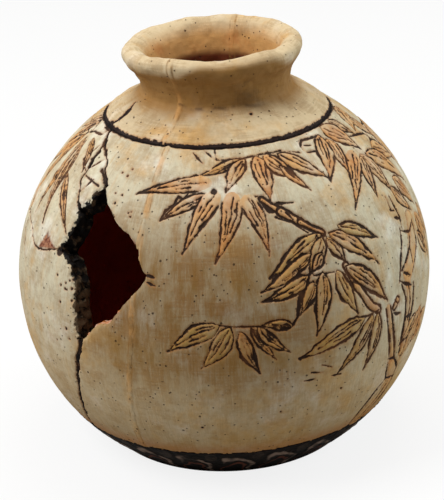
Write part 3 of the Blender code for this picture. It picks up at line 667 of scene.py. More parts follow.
def refine(points: Array, faces: Array, too_long: Callable[[Array, Array], Array],
           keep_rim: bool) -> tuple[Array, Array]:
    """One round of cutting: each edge that is too long gets a midpoint.

    Formula: a triangle with one cut edge becomes two, with two cut edges three, and with
    three cut edges four, so neighbours always share whole edges.

    Args:
        points: (n, 2) azimuth and height.
        faces: (m, 3) triangles.
        too_long: takes both ends of the edges and says which to cut.
        keep_rim: leaves the edges with one face alone.

    Returns:
        New points and faces.
    """
    pairs = np.sort(faces[:, [[0, 1], [1, 2], [2, 0]]].reshape(-1, 2), axis=1)
    keys, owner = np.unique(pairs[:, 0] * len(points) + pairs[:, 1], return_inverse=True)
    ends = np.stack([keys // len(points), keys % len(points)], axis=1)
    owner = owner.reshape(-1, 3)
    cut = too_long(points[ends[:, 0]], points[ends[:, 1]])
    if keep_rim:
        cut &= np.bincount(owner.ravel(), minlength=len(ends)) == 2
    number = np.full(len(ends), -1)
    number[cut] = len(points) + np.arange(cut.sum())
    middles = number[owner]
    amount = (middles >= 0).sum(axis=1)
    first = np.where(amount == 1, np.argmax(middles >= 0, axis=1), 0)
    first = np.where(amount == 2, (np.argmax(middles < 0, axis=1) + 1) % 3, first)
    order = (first[:, None] + np.arange(3)) % 3
    a, b, c = np.take_along_axis(faces, order, axis=1).T
    p, q, r = np.take_along_axis(middles, order, axis=1).T
    points = np.vstack([points, 0.5 * (points[ends[cut, 0]] + points[ends[cut, 1]])])
    patterns = {
        0: ((a, b, c),),
        1: ((a, p, c), (p, b, c)),
        2: ((p, b, q), (a, p, q), (a, q, c)),
        3: ((a, p, r), (p, b, q), (r, q, c), (p, q, r)),
    }
    parts = [
        np.stack([k[amount == n] for k in trio], axis=1)
        for n, trios in patterns.items()
        for trio in trios
    ]
    return points, np.vstack(parts)


@dataclass
class WallPiece:
    """A piece of the belly wall between four sides, each a chain of (azimuth, height) points."""

    name: str
    bottom: Pairs
    right: Pairs
    top: Pairs
    left: Pairs
    step: float = 3.2
    line_step: float = 0.36
    rim_step: float = 0.9
    depth_steps: int = 7

    def resample(self, side: Pairs, count: int, curve: WallCurve) -> Array:
        """The side as count steps that keep every corner, shared out by length."""
        corners = np.array(side, float)
        reach = curve.length(corners[:-1], corners[1:])
        share = np.maximum(1, np.floor(reach / reach.sum() * count)).astype(int)
        while share.sum() != count:
            share[np.argmax(reach / share) if share.sum() < count else np.argmax(share)] += (
                1 if share.sum() < count else -1
            )
        runs = [
            a + (b - a) * (np.arange(n) / n)[:, None] for a, b, n in zip(corners, corners[1:], share)
        ]
        return np.vstack([*runs, corners[-1:]])

    def lay_out(self, curve: WallCurve) -> tuple[Array, Array]:
        """A grid between the four sides.

        Formula (Coons): blend of bottom and top by v, plus blend of left and right by u,
        minus the blend of the four corners.
        """
        sides = [np.array(side) for side in (self.bottom, self.top, self.left, self.right)]
        spans = [curve.length(side[:-1], side[1:]).sum() for side in sides]
        across = max(len(self.bottom), len(self.top), round(max(spans[:2]) / self.step))
        upward = max(len(self.left), len(self.right), round(max(spans[2:]) / self.step))
        low, high = self.resample(self.bottom, across, curve), self.resample(self.top, across, curve)
        west, east = self.resample(self.left, upward, curve), self.resample(self.right, upward, curve)
        u = np.linspace(0.0, 1.0, across + 1)[None, :, None]
        v = np.linspace(0.0, 1.0, upward + 1)[:, None, None]
        sheet = (1 - v) * low[None] + v * high[None] + (1 - u) * west[:, None] + u * east[:, None]
        sheet -= (1 - u) * ((1 - v) * low[0] + v * high[0]) + u * ((1 - v) * low[-1] + v * high[-1])
        return sheet.reshape(-1, 2), triangles_of(grid_faces(upward + 1, across + 1))


@dataclass
class Belly:
    """The mended belly: six wall pieces with their drawing, cracks and broken edges."""

    curve: WallCurve
    lines: WallLines
    drawing: Drawing
    groove: float = 0.42
    crack_depth: float = 0.75
    unevenness: float = 0.35
    ring_half: float = 1.0

    def __post_init__(self) -> None:
        """Works out the lines on the wall that every piece is measured against."""
        lines = self.lines
        self.cracks = [
            lines.top + lines.top_crack + lines.fork + lines.top_crack_end,
            lines.splinter_foot + lines.splinter_crack + lines.fork,
            lines.left_crack + lines.corner,
            lines.bottom_crack + lines.bottom,
        ]
        self.crack_widths = [
            (self.cracks[0], 0.42), (self.cracks[1], 0.4), (self.cracks[2], 0.24), (self.cracks[3], 0.62),
            (lines.splinter_crack[3:] + lines.fork, 0.85), (lines.fork + lines.top_crack_end, 0.7),
            ([(-13.0, 112.8), (-10.2, 111.2), (-7.2, 109.2)], 0.7), ([(-6.4, 48.0), (-3.6, 59.0)], 0.95),
        ]
        self.burnt_edges = [
            lines.top + lines.edge_splinter[::-1] + lines.splinter_foot + lines.edge_upper_left[::-1]
            + lines.corner,
            lines.corner + lines.edge_lower_left[::-1] + lines.bottom,
        ]
        self.open_edges = [
            lines.top + lines.edge_top_right + lines.seam_upper[:1],
            lines.seam_lower[-1:] + lines.edge_right_corner + lines.seam_upper[:1],
            lines.bottom + lines.edge_lower_right + lines.seam_lower[-1:],
            *self.burnt_edges,
        ]

    def pieces(self) -> list[WallPiece]:
        """The six wall pieces with their sides."""
        lines = self.lines
        collar, foot, back = self.curve.collar, self.curve.foot, lines.back_seam
        lower_corner = lines.seam_lower + lines.edge_right_corner + lines.seam_upper
        return [
            WallPiece("belly_right_half", [(8.0, foot), (back, foot)], [(back, foot), (back, collar)],
                      [(13.0, collar), (back, collar)], lower_corner, line_step=0.43),
            WallPiece("upper_front_shard", lines.top + lines.edge_top_right + lines.seam_upper[:1],
                      lines.seam_upper,
                      lines.top_crack_end + [(13.0, collar)],
                      lines.top + lines.top_crack + lines.fork + lines.top_crack_end),
            WallPiece("splinter_shard", lines.splinter_foot + lines.edge_splinter + lines.top,
                      lines.top + lines.top_crack + lines.fork,
                      lines.splinter_crack[2:] + lines.fork, lines.splinter_foot + lines.splinter_crack[:3],
                      step=2.2),
            WallPiece("upper_left_shard", lines.left_crack + lines.corner,
                      lines.corner + lines.edge_upper_left + lines.splinter_foot + lines.splinter_crack
                      + lines.fork + lines.top_crack_end,
                      [(back - 360.0, collar)] + lines.top_crack_end,
                      [(back - 360.0, 86.0), (back - 360.0, collar)]),
            WallPiece("lower_left_shard", [(back - 360.0, foot), (-16.4, foot)],
                      lines.bottom_crack + lines.bottom + lines.edge_lower_left + lines.corner,
                      lines.left_crack + lines.corner,
                      [(back - 360.0, foot), (back - 360.0, 86.0)]),
            WallPiece("lower_front_shard", [(-16.4, foot), (8.0, foot)], lines.seam_lower,
                      lines.bottom + lines.edge_lower_right + lines.seam_lower[-1:],
                      lines.bottom_crack + lines.bottom),
        ]

    def nearest(self, spots: Array, chains: list[Pairs]) -> Array:
        """Distance from each spot to the nearest of several lines on the wall."""
        best = np.full(len(spots), 50.0)
        for chain in chains:
            line = self.drawing.chain(Stroke(tuple(chain)))
            best = np.minimum(best, line_distance(spots, line)[0])
        return best

    def crack_ink(self, spots: Array) -> Array:
        """Distance past the edge of the nearest crack line, each with its own width."""
        uneven = 1.0 + 0.45 * layered_noise(spots, 1.8, 2, 53)
        gaps = [self.nearest(spots, [chain]) - width * uneven for chain, width in self.crack_widths]
        return np.minimum.reduce(gaps)

    def ragged(self, points: Array) -> Array:
        """Shifts wall points a little sideways, the same way for every piece that shares a line."""
        spots = self.curve.place(points[:, 0], points[:, 1])
        above_foot, under_collar = points[:, 1] - self.curve.foot, self.curve.collar - points[:, 1]
        hold = ease(0.0, 2.0, above_foot) * ease(0.0, 2.0, under_collar)
        hold = hold * ease(2.0, 6.0, np.abs(points[:, 0] - self.lines.back_seam))
        hold = hold * ease(2.0, 6.0, np.abs(points[:, 0] - self.lines.back_seam + 360.0))
        east = 0.5 * layered_noise(spots, 2.4, 2, 31) * hold
        north = 0.5 * layered_noise(spots, 2.4, 2, 47) * hold
        shift = np.degrees(east / self.curve.radius_at(points[:, 1]))
        return np.stack([points[:, 0] + shift, points[:, 1] + north], axis=1)

    def relief(self, points: Array, marks: Marks, crack: Array, spots: Array) -> Array:
        """How far the outer face stands back from the true curve.

        Formula: groove depth times the drawing's cut, plus a soft valley at each crack,
        a low ridge at the mould seam taken off, and slow hand-made unevenness.
        """
        valley = self.crack_depth * (1.0 - ease(-0.55, 0.45, crack))
        ring = self.collar_ring(points, spots)
        valley = np.maximum(valley, 0.55 * (1.0 - ease(-0.6, 0.3, ring)))
        seam = points[:, 0] - np.interp(points[:, 1], [20.0, 65.0, 122.0], [8.0, 13.0, 13.0])
        seam = np.radians(seam) * self.curve.radius_at(points[:, 1])
        ridge = 0.26 * np.exp(-((seam / 1.5) ** 2)) * (0.7 + 0.6 * layered_noise(spots, 5.0, 2, 13))
        slow = self.unevenness * layered_noise(spots, 26.0, 2, 3)
        fine = 0.05 * layered_noise(spots * np.array([1.0, 1.0, 0.35]), 2.2, 2, 9)
        leaf_rise = 0.12 * (1.0 - ease(-0.9, -0.1, marks.leaf))
        depth = self.groove * marks.cut + valley - ridge - slow * 0.5 + 0.5 * self.unevenness
        return depth - fine - leaf_rise

    def notes(self, points: Array, depth: Array, marks: Marks, crack: Array, burn: Array,
              spots: Array) -> Notes:
        """What the finish reads on each vertex."""
        east = np.radians(points[:, 0]) * self.curve.radius
        below = self.curve.place(points[:, 0], points[:, 1])
        # Brown wash plus painted shade: strongest on the front band from azimuth -16 to 82, and a little
        # darker towards the bottom.
        wash_and_shade = ease(-16.0, 14.0, points[:, 0]) * (1.0 - ease(46.0, 82.0, points[:, 0]))
        wash_and_shade = wash_and_shade * ease(34.0, 60.0, points[:, 1]) * (1.0 - ease(88.0, 112.0, points[:, 1]))
        wash_and_shade = wash_and_shade + 0.2 * (1.0 - ease(16.0, 40.0, points[:, 1]))
        chip = self.chip(below)
        seam = points[:, 0] - np.interp(points[:, 1], [20.0, 65.0, 122.0], [8.0, 13.0, 13.0])
        return {
            "wall": np.stack([east, points[:, 1] * 1.0, depth], axis=1),
            "ink": np.minimum.reduce([marks.ink, crack, self.collar_ring(points, spots)]),
            "leaf": marks.leaf,
            "green": marks.green,
            "burn": burn,
            "chip": chip,
            "wash_and_shade": np.clip(wash_and_shade, 0.0, 1.0),
            "seam": np.abs(np.radians(seam) * self.curve.radius_at(points[:, 1])),
            "depth": depth,
        }

    def collar_ring(self, points: Array, spots: Array) -> Array:
        """Distance past the edge of the dark ring at the collar, along the wall; it swells at a blot."""
        gap = (self.curve.collar - points[:, 1]) / self.curve.normal_at(points[:, 1])[0]
        nick = 0.7 * np.exp(-(((points[:, 0] - self.lines.seam_upper[1][0]) / 1.0) ** 2))
        blot = 0.9 * np.exp(-(((points[:, 0] + 31.0) / 4.0) ** 2))
        return gap + nick - blot - self.ring_half * (1.0 + 0.25 * layered_noise(spots, 1.8, 2, 71))

    def chip(self, spots: Array) -> Array:
        """1 inside the three-cornered chip left of the opening, where the red clay shows."""
        corners = self.drawing.on_wall([(-24.2, 90.4), (-27.0, 84.0), (-17.6, 86.9)])
        middle = corners.mean(axis=0)
        outward = middle * np.array([1.0, 1.0, 0.0])
        gap = np.full(len(spots), -9.0)
        for start, end in zip(corners, np.roll(corners, -1, axis=0)):
            side = np.cross(outward, end - start)
            side *= np.sign((middle - start) @ side) / np.linalg.norm(side)
            gap = np.maximum(gap, -(spots - start) @ side)
        return np.where(np.linalg.norm(spots - middle, axis=1) < 9.0, 1.0 - ease(-0.25, 0.3, gap), 0.0)

    def build(self, piece: WallPiece, finish: Material) -> Piece:
        """Builds one wall piece: fine outer face, coarse inner face and broken sides between."""
        points, faces = piece.lay_out(self.curve)
        joints = self.cracks + self.open_edges

        def near_joint(start: Array, end: Array) -> Array:
            """Edges near a crack or the opening that are longer than the rim step."""
            gap = self.nearest(self.curve.place(*(0.5 * (start + end)).T), joints)
            want = np.interp(gap, [0.0, 1.2, 8.0], [piece.rim_step, piece.rim_step, piece.step * 1.3])
            return self.curve.length(start, end) > want

        def near_drawing(start: Array, end: Array) -> Array:
            """Edges near an incised line or a joint that are longer than the line step."""
            spots = self.curve.place(*(0.5 * (start + end)).T)
            marks = self.drawing.measure(spots)
            edge = self.nearest(spots, self.burnt_edges)
            ring = self.curve.collar - 0.5 * (start + end)[:, 1]
            gap = np.minimum.reduce([marks.ink, self.crack_ink(spots), edge - 2.0, ring - 1.0])
            gap = np.maximum(gap, 0.0)
            want = np.interp(gap, [0.0, 0.5, 3.0], [piece.line_step * 1.15, piece.line_step * 1.9, 2.0])
            return self.curve.length(start, end) > want

        for _ in range(2):
            points, faces = refine(points, faces, near_joint, False)
        inner_points, inner_faces = points, faces
        for _ in range(5):
            points, faces = refine(points, faces, near_drawing, True)
        return self.assemble(piece, points, faces, inner_points, inner_faces, finish)

    def outer_face(self, points: Array) -> tuple[Array, Notes]:
        """Positions and notes of the outer face."""
        moved = self.ragged(points)
        spots = self.curve.place(moved[:, 0], moved[:, 1])
        marks = self.drawing.measure(spots)
        crack = self.crack_ink(self.curve.place(points[:, 0], points[:, 1]))
        edge = self.nearest(self.curve.place(points[:, 0], points[:, 1]), self.burnt_edges)
        broken = self.nearest(self.curve.place(points[:, 0], points[:, 1]), self.open_edges)
        burn = edge - 0.75 + 1.1 * layered_noise(spots, 2.0, 3, 61)
        depth = self.relief(moved, marks, crack, spots) + 0.4 * np.exp(-((broken / 0.6) ** 2))
        depth = depth + (1.0 - ease(-0.5, 1.2, burn)) * (0.35 + 0.6 * layered_noise(spots, 1.4, 2, 67))
        return self.curve.place(moved[:, 0], moved[:, 1], depth), self.notes(
            moved, np.zeros(len(points)), marks, crack, burn, spots
        )

    def assemble(self, piece: WallPiece, points: Array, faces: Array, inner_points: Array, inner_faces: Array,
                 finish: Material) -> Piece:
        """Joins the outer face, the inner face and the sides into one closed mesh."""
        outer, notes = self.outer_face(points)
        pairs = inner_faces[:, [[0, 1], [1, 2], [2, 0]]].reshape(-1, 2)
        keys = np.sort(pairs, axis=1) @ np.array([len(inner_points), 1])
        _, where, uses = np.unique(keys, return_index=True, return_counts=True)
        rim = pairs[where[uses == 1]]
        rim_ids, local = np.unique(rim, return_inverse=True)
        local = local.reshape(-1, 2)
        moved = self.ragged(inner_points)
        inner = self.curve.place(moved[:, 0], moved[:, 1], self.inner_depth(moved))
        levels = np.linspace(0.0, 1.0, piece.depth_steps + 1)[1:-1]
        columns = [self.broken_side(moved[rim_ids], outer[rim_ids], inner[rim_ids], part) for part in levels]
        count = len(rim_ids)
        ladders = [rim_ids]
        base = len(points)
        for index in range(len(levels)):
            ladders.append(base + index * count + np.arange(count))
        inner_base = base + len(levels) * count
        ladders.append(inner_base + rim_ids)
        sides = []
        for upper, lower in zip(ladders, ladders[1:]):
            a, b = local.T
            sides.append(np.stack([upper[b], upper[a], lower[a]], axis=1))
            sides.append(np.stack([upper[b], lower[a], lower[b]], axis=1))
        all_faces = np.vstack([faces, *sides, inner_faces[:, ::-1] + inner_base])
        side_points = np.vstack([moved[rim_ids]] * len(levels))
        side_depth = np.repeat(levels, count) * self.curve.wall
        flat = Marks(*(np.full(len(side_points), v) for v in (9.0, 9.0, 0.0, 0.0)))
        burn = np.interp(side_points[:, 0], [-3.7, -3.4], [-5.0, 9.0])
        far = np.full(len(side_points), 9.0)
        side_notes = self.notes(side_points, side_depth, flat, far, burn, np.vstack(columns))
        blank = Marks(*(np.full(len(moved), v) for v in (9.0, 9.0, 0.0, 0.0)))
        place = self.curve.place(inner_points[:, 0], inner_points[:, 1])
        inner_notes = self.notes(moved, np.full(len(moved), self.curve.wall), blank,
                                 np.full(len(moved), 9.0), self.nearest(place, self.burnt_edges) - 1.5, inner)
        merged = {key: np.concatenate([notes[key], side_notes[key], inner_notes[key]]) for key in notes}
        skin = Skin(np.vstack([outer, *columns, inner]), all_faces, merged)
        return make_piece(piece.name + "_clay", skin, finish)

    def inner_depth(self, points: Array) -> Array:
        """Depth of the inner face: the wall, with the finger marks left by pressing the mould."""
        spots = self.curve.place(points[:, 0], points[:, 1])
        press = layered_noise(spots * np.array([1.0, 1.0, 0.6]), 14.0, 2, 77)
        return self.curve.wall + 0.5 * press * ease(1.5, 6.0, self.nearest(spots, self.open_edges))

    def broken_side(self, points: Array, outer: Array, inner: Array, part: float) -> Array:
        """One level of the broken side, roughened along the wall and in and out of it."""
        spots = outer + (inner - outer) * part
        skin = self.curve.place(points[:, 0], points[:, 1])
        free = 1.0 - ease(0.6, 2.0, self.nearest(skin, self.open_edges))
        rough = np.stack([layered_noise(spots, 1.7, 3, seed) for seed in (81, 87, 93)], axis=1)
        bulge = math.sin(math.pi * part)
        return spots + rough * (1.15 * bulge * free)[:, None]


# ---------------------------------------------------------------- neck, foot, floor and joints


@dataclass
class Neck:
    """Collar, neck and pinched rim, in two moulded halves."""

    curve: NeckCurve
    wall: WallCurve
    drawing: Drawing
    lines: WallLines
    rows: int = 190
    step: float = 0.55
    crest: float = 0.53
    unrolled_radius: float = 34.0

    def half(self, name: str, start: float, end: float, finish: Material) -> Piece:
        """One half, as the smooth section carried round from one seam to the other.

        Formula: position = section point turned by the azimuth, pushed along the section's
        own normal by finger dents, tool marks and the incised lines.
        """
        section = self.curve.smooth_section(self.rows)
        columns = round((end - start) / self.step)
        azimuth = np.repeat(np.linspace(start, end, columns + 1)[None], self.rows, axis=0).ravel()
        radius, height = (np.repeat(section[:, k], columns + 1) for k in (0, 1))
        away = np.repeat(self.section_normals(section), columns + 1, axis=0)
        outside = np.repeat(np.arange(self.rows) < self.rows * self.crest, columns + 1)
        seam = np.radians(np.minimum(np.abs(azimuth - start), np.abs(azimuth - end))) * radius
        placed, ink = self.surface(azimuth, radius, height, away, outside, seam)
        notes = self.notes(azimuth, height, outside, columns + 1, ink, seam)
        faces = triangles_of(grid_faces(self.rows, columns + 1, close_rows=True))
        ladder = np.arange(self.rows // 2 - 1)
        mirror = self.rows - 1 - ladder
        first = np.stack([ladder, ladder + 1, mirror - 1, mirror], axis=1) * (columns + 1)
        ends = np.vstack([triangles_of(first[:, ::-1]), triangles_of(first + columns)])
        return make_piece(name, Skin(placed, np.vstack([faces, ends])[:, ::-1], notes), finish)

    def notes(self, azimuth: Array, height: Array, outside: Array, columns: int, ink: Array,
              seam: Array) -> Notes:
        """What the finish reads on each vertex of the section carried round in this many columns."""
        section = self.curve.smooth_section(self.rows)
        run = np.concatenate([[0.0], np.cumsum(np.linalg.norm(np.diff(section, axis=0), axis=1))])
        share = np.repeat(np.arange(self.rows) / self.rows, columns)
        # Red clay inside the neck darkened as painted shade deeper down the throat, reaching higher on the
        # far inner wall.
        throat_clay_and_shade = height - 2.4 * np.cos(np.radians(azimuth - 222.0))
        # How much higher the painted shade under the rim reaches on the front of the neck.
        front_shade_reach = ease(12.0, 32.0, azimuth) * (1.0 - ease(70.0, 100.0, azimuth))
        # A painted shadow line where the neck meets the collar, on the front only; the section has no crease.
        crease_shadow = height - np.interp(azimuth, [-35.0, -6.0, 30.0, 65.0], [132.4, 131.8, 130.4, 130.6])
        spots = self.curve.shape(azimuth, np.full(len(azimuth), 30.0), height)
        crease_shadow = crease_shadow + 0.7 * layered_noise(spots, 6.0, 3, 33)
        window = ease(-50.0, -25.0, azimuth) * (1.0 - ease(55.0, 85.0, azimuth)) * outside
        return {
            "wall": np.stack([np.repeat(run, columns), np.radians(azimuth) * self.unrolled_radius,
                              np.zeros(len(azimuth))], axis=1),
            "ink": ink,
            "throat_clay_and_shade": np.where(outside, 0.0, 1.0 - ease(131.9, 135.2, throat_clay_and_shade)),
            "seam": seam,
            "inside": ease(self.crest - 0.05, self.crest + 0.04, share),
            "rise": ease(122.0, 146.0 + 4.5 * front_shade_reach, height),
            "crease_shadow": np.exp(-((crease_shadow / 0.55) ** 2)) * window,
        }

    def section_normals(self, section: Array) -> Array:
        """Outward normals of the section as (radial, vertical)."""
        tangent = np.gradient(section, axis=0)
        tangent /= np.linalg.norm(tangent, axis=1, keepdims=True)
        return np.stack([tangent[:, 1], -tangent[:, 0]], axis=1)

    def surface(self, azimuth: Array, radius: Array, height: Array, away: Array, outside: Array,
                seam: Array) -> tuple[Array, Array]:
        """Dented and incised surface of the neck.

        Args:
            azimuth: degrees from -Y.
            radius: distance of the section point from the axis.
            height: its height.
            away: section normals as (radial, vertical).
            outside: true on the outer face.
            seam: distance to the nearest mould seam.

        Returns:
            Positions, and the distance past the edge of the nearest line.
        """
        spots = self.curve.shape(azimuth, radius, height)
        ink = np.where(outside, self.drawing.measure(spots).ink, 9.0)
        dents = 0.6 * layered_noise(spots * np.array([1.0, 1.0, 1.4]), 11.0, 2, 15)
        dents += 0.2 * layered_noise(spots, 3.2, 2, 19)
        lift = dents * ease(121.8, 124.0, height) - 0.35 * (1.0 - ease(-0.3, 0.3, ink))
        lift += 0.24 * np.exp(-((seam / 1.4) ** 2)) * (0.7 + 0.6 * layered_noise(spots, 5.0, 2, 13))
        ring = np.abs(height - self.wall.collar) / 0.55 - 1.2 - 0.5 * layered_noise(spots, 1.6, 2, 71)
        ring += 0.9 * np.exp(-((seam / 0.7) ** 2))
        lift -= 0.5 * (1.0 - ease(-0.5, 0.4, ring)) * outside
        placed = self.curve.shape(azimuth, radius + away[:, 0] * lift, height + away[:, 1] * lift)
        return placed, np.minimum(ink, np.where(outside, ring, 9.0))

    def seam_path(self, azimuth: float) -> Path:
        """Positions, outward normals and notes of the line that the seam draws over the section."""
        section = self.curve.smooth_section(self.rows)
        away = self.section_normals(section)
        outside = np.arange(self.rows) < self.rows * self.crest
        turn = np.full(self.rows, azimuth)
        none = np.zeros(self.rows)
        placed, ink = self.surface(turn, section[:, 0], section[:, 1], away, outside, none)
        notes = self.notes(turn, section[:, 1], outside, 1, ink, none)
        angle = math.radians(azimuth)
        normal = np.stack([away[:, 0] * math.sin(angle), -away[:, 0] * math.cos(angle), away[:, 1]], axis=1)
        return placed[3:-3], normal[3:-3], {key: values[3:-3] for key, values in notes.items()}


@dataclass
class FilledJoint:
    """A strip of filler or a worn seam bead, as a small section carried along a path."""

    name: str
    half_width: float
    height: float
    sink: float
    roughness: float
    closed: bool = False
    seed: int = 1

    def build(self, path: Array, away: Array, finish: Material,
              path_notes: Notes | None = None) -> Piece:
        """Carries a low arch along the path.

        Formula: the arch is w * cos(t) across and sink + h * sin(t) outwards for t from 0 to
        180 degrees, with a flat underside one wall-skin lower; its crest wanders with noise.
        """
        path, away, carried = self.even(path, away, path_notes or {})
        ahead = np.gradient(path, axis=0)
        if self.closed:
            ahead = np.roll(path, -1, axis=0) - np.roll(path, 1, axis=0)
        across = np.cross(ahead, away)
        across /= np.linalg.norm(across, axis=1, keepdims=True)
        turn = np.radians(np.linspace(0.0, 180.0, 9))
        side = np.concatenate([np.cos(turn), [-0.9, 0.9]])
        rise = np.concatenate([np.sin(turn), [0.0, 0.0]])
        under = np.concatenate([np.zeros(9), [1.6, 1.6]])
        wander = layered_noise(path, 3.0, 2, self.seed)[:, None]
        width = self.half_width * (1.0 + 0.35 * wander[..., None])
        spots = path[:, None] + across[:, None] * (side[None, :, None] * width)
        lift = self.sink + self.height * rise[None] * (1.0 + 0.5 * wander) - under[None]
        flat = (spots + away[:, None] * lift[..., None]).reshape(-1, 3)
        jitter = self.roughness * layered_noise(flat, 0.9, 2, self.seed + 3)
        flat = flat + np.repeat(away, 11, axis=0) * jitter[:, None]
        faces = triangles_of(grid_faces(len(path), 11, self.closed, True))
        if not self.closed:
            fan = np.stack([np.zeros(9, int), np.arange(1, 10), np.arange(2, 11)], axis=1)
            faces = np.vstack([faces, fan[:, ::-1], fan + (len(path) - 1) * 11])
        gone = np.cumsum(np.linalg.norm(np.diff(path, axis=0), axis=1))
        east = np.repeat(np.concatenate([[0.0], gone]), 11)
        notes = {"wall": np.stack([np.tile(side, len(path)), east, np.zeros(len(east))], axis=1)}
        notes |= {key: np.repeat(values, 11, axis=0) for key, values in carried.items()}
        return make_piece(self.name, Skin(flat, faces, notes), finish, 80.0)

    def even(self, path: Array, away: Array, notes: Notes) -> Path:
        """The path, its normals and its notes at steps of about 0.6."""
        if self.closed:
            path, away = np.vstack([path, path[:1]]), np.vstack([away, away[:1]])
        reach = np.concatenate([[0.0], np.cumsum(np.linalg.norm(np.diff(path, axis=0), axis=1))])
        want = np.linspace(0.0, reach[-1], max(4, round(reach[-1] / 0.6)))
        if self.closed:
            want = want[:-1]

        def at_steps(values: Array) -> Array:
            """The values at the even steps."""
            if values.ndim == 1:
                return np.interp(want, reach, values)
            return np.stack([np.interp(want, reach, column) for column in values.T], axis=1)

        away = at_steps(away)
        carried = {key: at_steps(values) for key, values in notes.items()}
        return at_steps(path), away / np.linalg.norm(away, axis=1, keepdims=True), carried


@dataclass
class Foot:
    """The dark carved foot ring and the floor inside it."""

    curve: WallCurve
    petals: int = 22
    first_petal: float = 22.6
    ledge_radius: float = 34.0
    ledge_height: float = 6.0
    rebate_radius: float = 42.0
    floor_top: float = 12.0
    columns: int = 1100

    def section(self) -> Array:
        """The ring's closed section: fine on the carved outer face, plain inside."""
        heights = np.linspace(self.curve.foot - 0.4, 0.9, 54)
        outer = np.stack([self.curve.radius_at(heights), heights], axis=1)
        inner_top = self.curve.place(np.array([0.0]), np.array([self.curve.foot - 0.4]), self.curve.wall)[0]
        rest = [
            (outer[-1, 0] - 0.35, 0.25), (outer[-1, 0] - 1.2, 0.0), (39.0, 0.0),
            (self.ledge_radius + 0.6, 0.0),
            (self.ledge_radius, 0.5), (self.ledge_radius, self.ledge_height),
            (self.rebate_radius, self.ledge_height),
            (self.rebate_radius, self.floor_top - 0.4), (self.rebate_radius + 0.8, self.floor_top + 0.4),
            (-inner_top[1] - 2.0, inner_top[2] - 2.2), (-inner_top[1], inner_top[2]),
        ]
        return np.vstack([outer, rest])

    def petal(self, azimuth: Array, height: Array) -> tuple[Array, Array, Array]:
        """How far into a petal each point is.

        Formula: the azimuth folds into one pitch; rho is the distance from the petal's foot
        in units of its half width and height, so rho = 1 is the outer arch.

        Returns:
            rho of the petal, rho of the small bud between two petals, and the place across the petal.
        """
        pitch = 360.0 / self.petals
        fold = (azimuth - self.first_petal) / pitch
        fold = fold - np.round(fold)
        skew = fold + 0.08 * np.sin(height * 0.6)
        rho = np.hypot(skew / 0.47, (height - 1.0) / 12.5)
        bud = np.hypot((0.5 - np.abs(fold)) / 0.2, (height - 13.0) / 4.0)
        return rho, bud, skew

    def ring(self, finish: Material) -> Piece:
        """The foot ring with its petals cut into the outer face."""
        section = self.section()
        rows = len(section)
        azimuth = np.tile(np.arange(self.columns) / self.columns * 360.0, rows)
        radius, height = (np.repeat(section[:, k], self.columns) for k in (0, 1))
        face = np.repeat(np.arange(rows) < 54, self.columns)
        rho, bud, skew = self.petal(azimuth, height)
        angle = np.radians(azimuth)
        spots = np.stack([radius * np.sin(angle), -radius * np.cos(angle), height], axis=1)
        wobble = 0.06 * layered_noise(spots, 2.0, 2, 23)
        arch = np.exp(-(((rho - 0.9 + wobble) / 0.16) ** 2)) * ease(-0.6, -0.1, skew)
        inner_arch = np.exp(-(((rho - 0.6 + wobble) / 0.08) ** 2))
        buds = 1.0 - ease(0.6, 1.0, bud)
        rough = 0.12 * layered_noise(spots, 1.4, 2, 29)
        sunk = 0.55 - 0.5 * arch - 0.4 * inner_arch - 0.25 * buds + rough
        radius = radius - np.where(face, np.maximum(sunk, 0.0) * ease(0.9, 2.2, height), 0.0)
        spots = np.stack([radius * np.sin(angle), -radius * np.cos(angle), height], axis=1)
        notes = {
            "wall": np.stack([angle * 55.0, height, np.zeros(len(height))], axis=1),
            "arch": np.where(face, np.maximum(arch, 0.55 * buds), 0.0),
            "inner_arch": np.where(face, inner_arch, 0.0),
        }
        faces = triangles_of(grid_faces(rows, self.columns, True, True))
        return make_piece("foot_ring_carved", Skin(spots, faces, notes), finish)

    def floor(self, finish: Material) -> Piece:
        """The floor disc: a closed section turned round the axis, with faint turning rings."""
        top = np.stack([np.linspace(0.05, self.rebate_radius - 0.5, 60), np.full(60, self.floor_top)], axis=1)
        top[:, 1] += 0.18 * np.sin(top[:, 0] * 1.9) - 0.2
        low = np.stack([np.linspace(self.rebate_radius - 0.6, 0.05, 24),
                        np.full(24, self.ledge_height + 0.3)], axis=1)
        section = np.vstack([top, low])
        columns = 240
        azimuth = np.radians(np.tile(np.arange(columns) / columns * 360.0, len(section)))
        radius, height = (np.repeat(section[:, k], columns) for k in (0, 1))
        spots = np.stack([radius * np.sin(azimuth), -radius * np.cos(azimuth), height], axis=1)
        spots[:, 2] += 0.15 * layered_noise(spots, 7.0, 2, 41) * (height > self.floor_top - 1.0)
        notes = {"wall": np.stack([azimuth * 30.0, radius, np.zeros(len(height))], axis=1)}
        faces = triangles_of(grid_faces(len(section), columns, True, True))
        return make_piece("floor_slab_clay", Skin(spots, faces[:, ::-1], notes), finish)


# ---------------------------------------------------------------- finishes

Socket = bpy.types.NodeSocket
Colour = tuple[float, float, float, float]
Value = Socket | float | Colour
Sockets = Mapping[str, Socket]


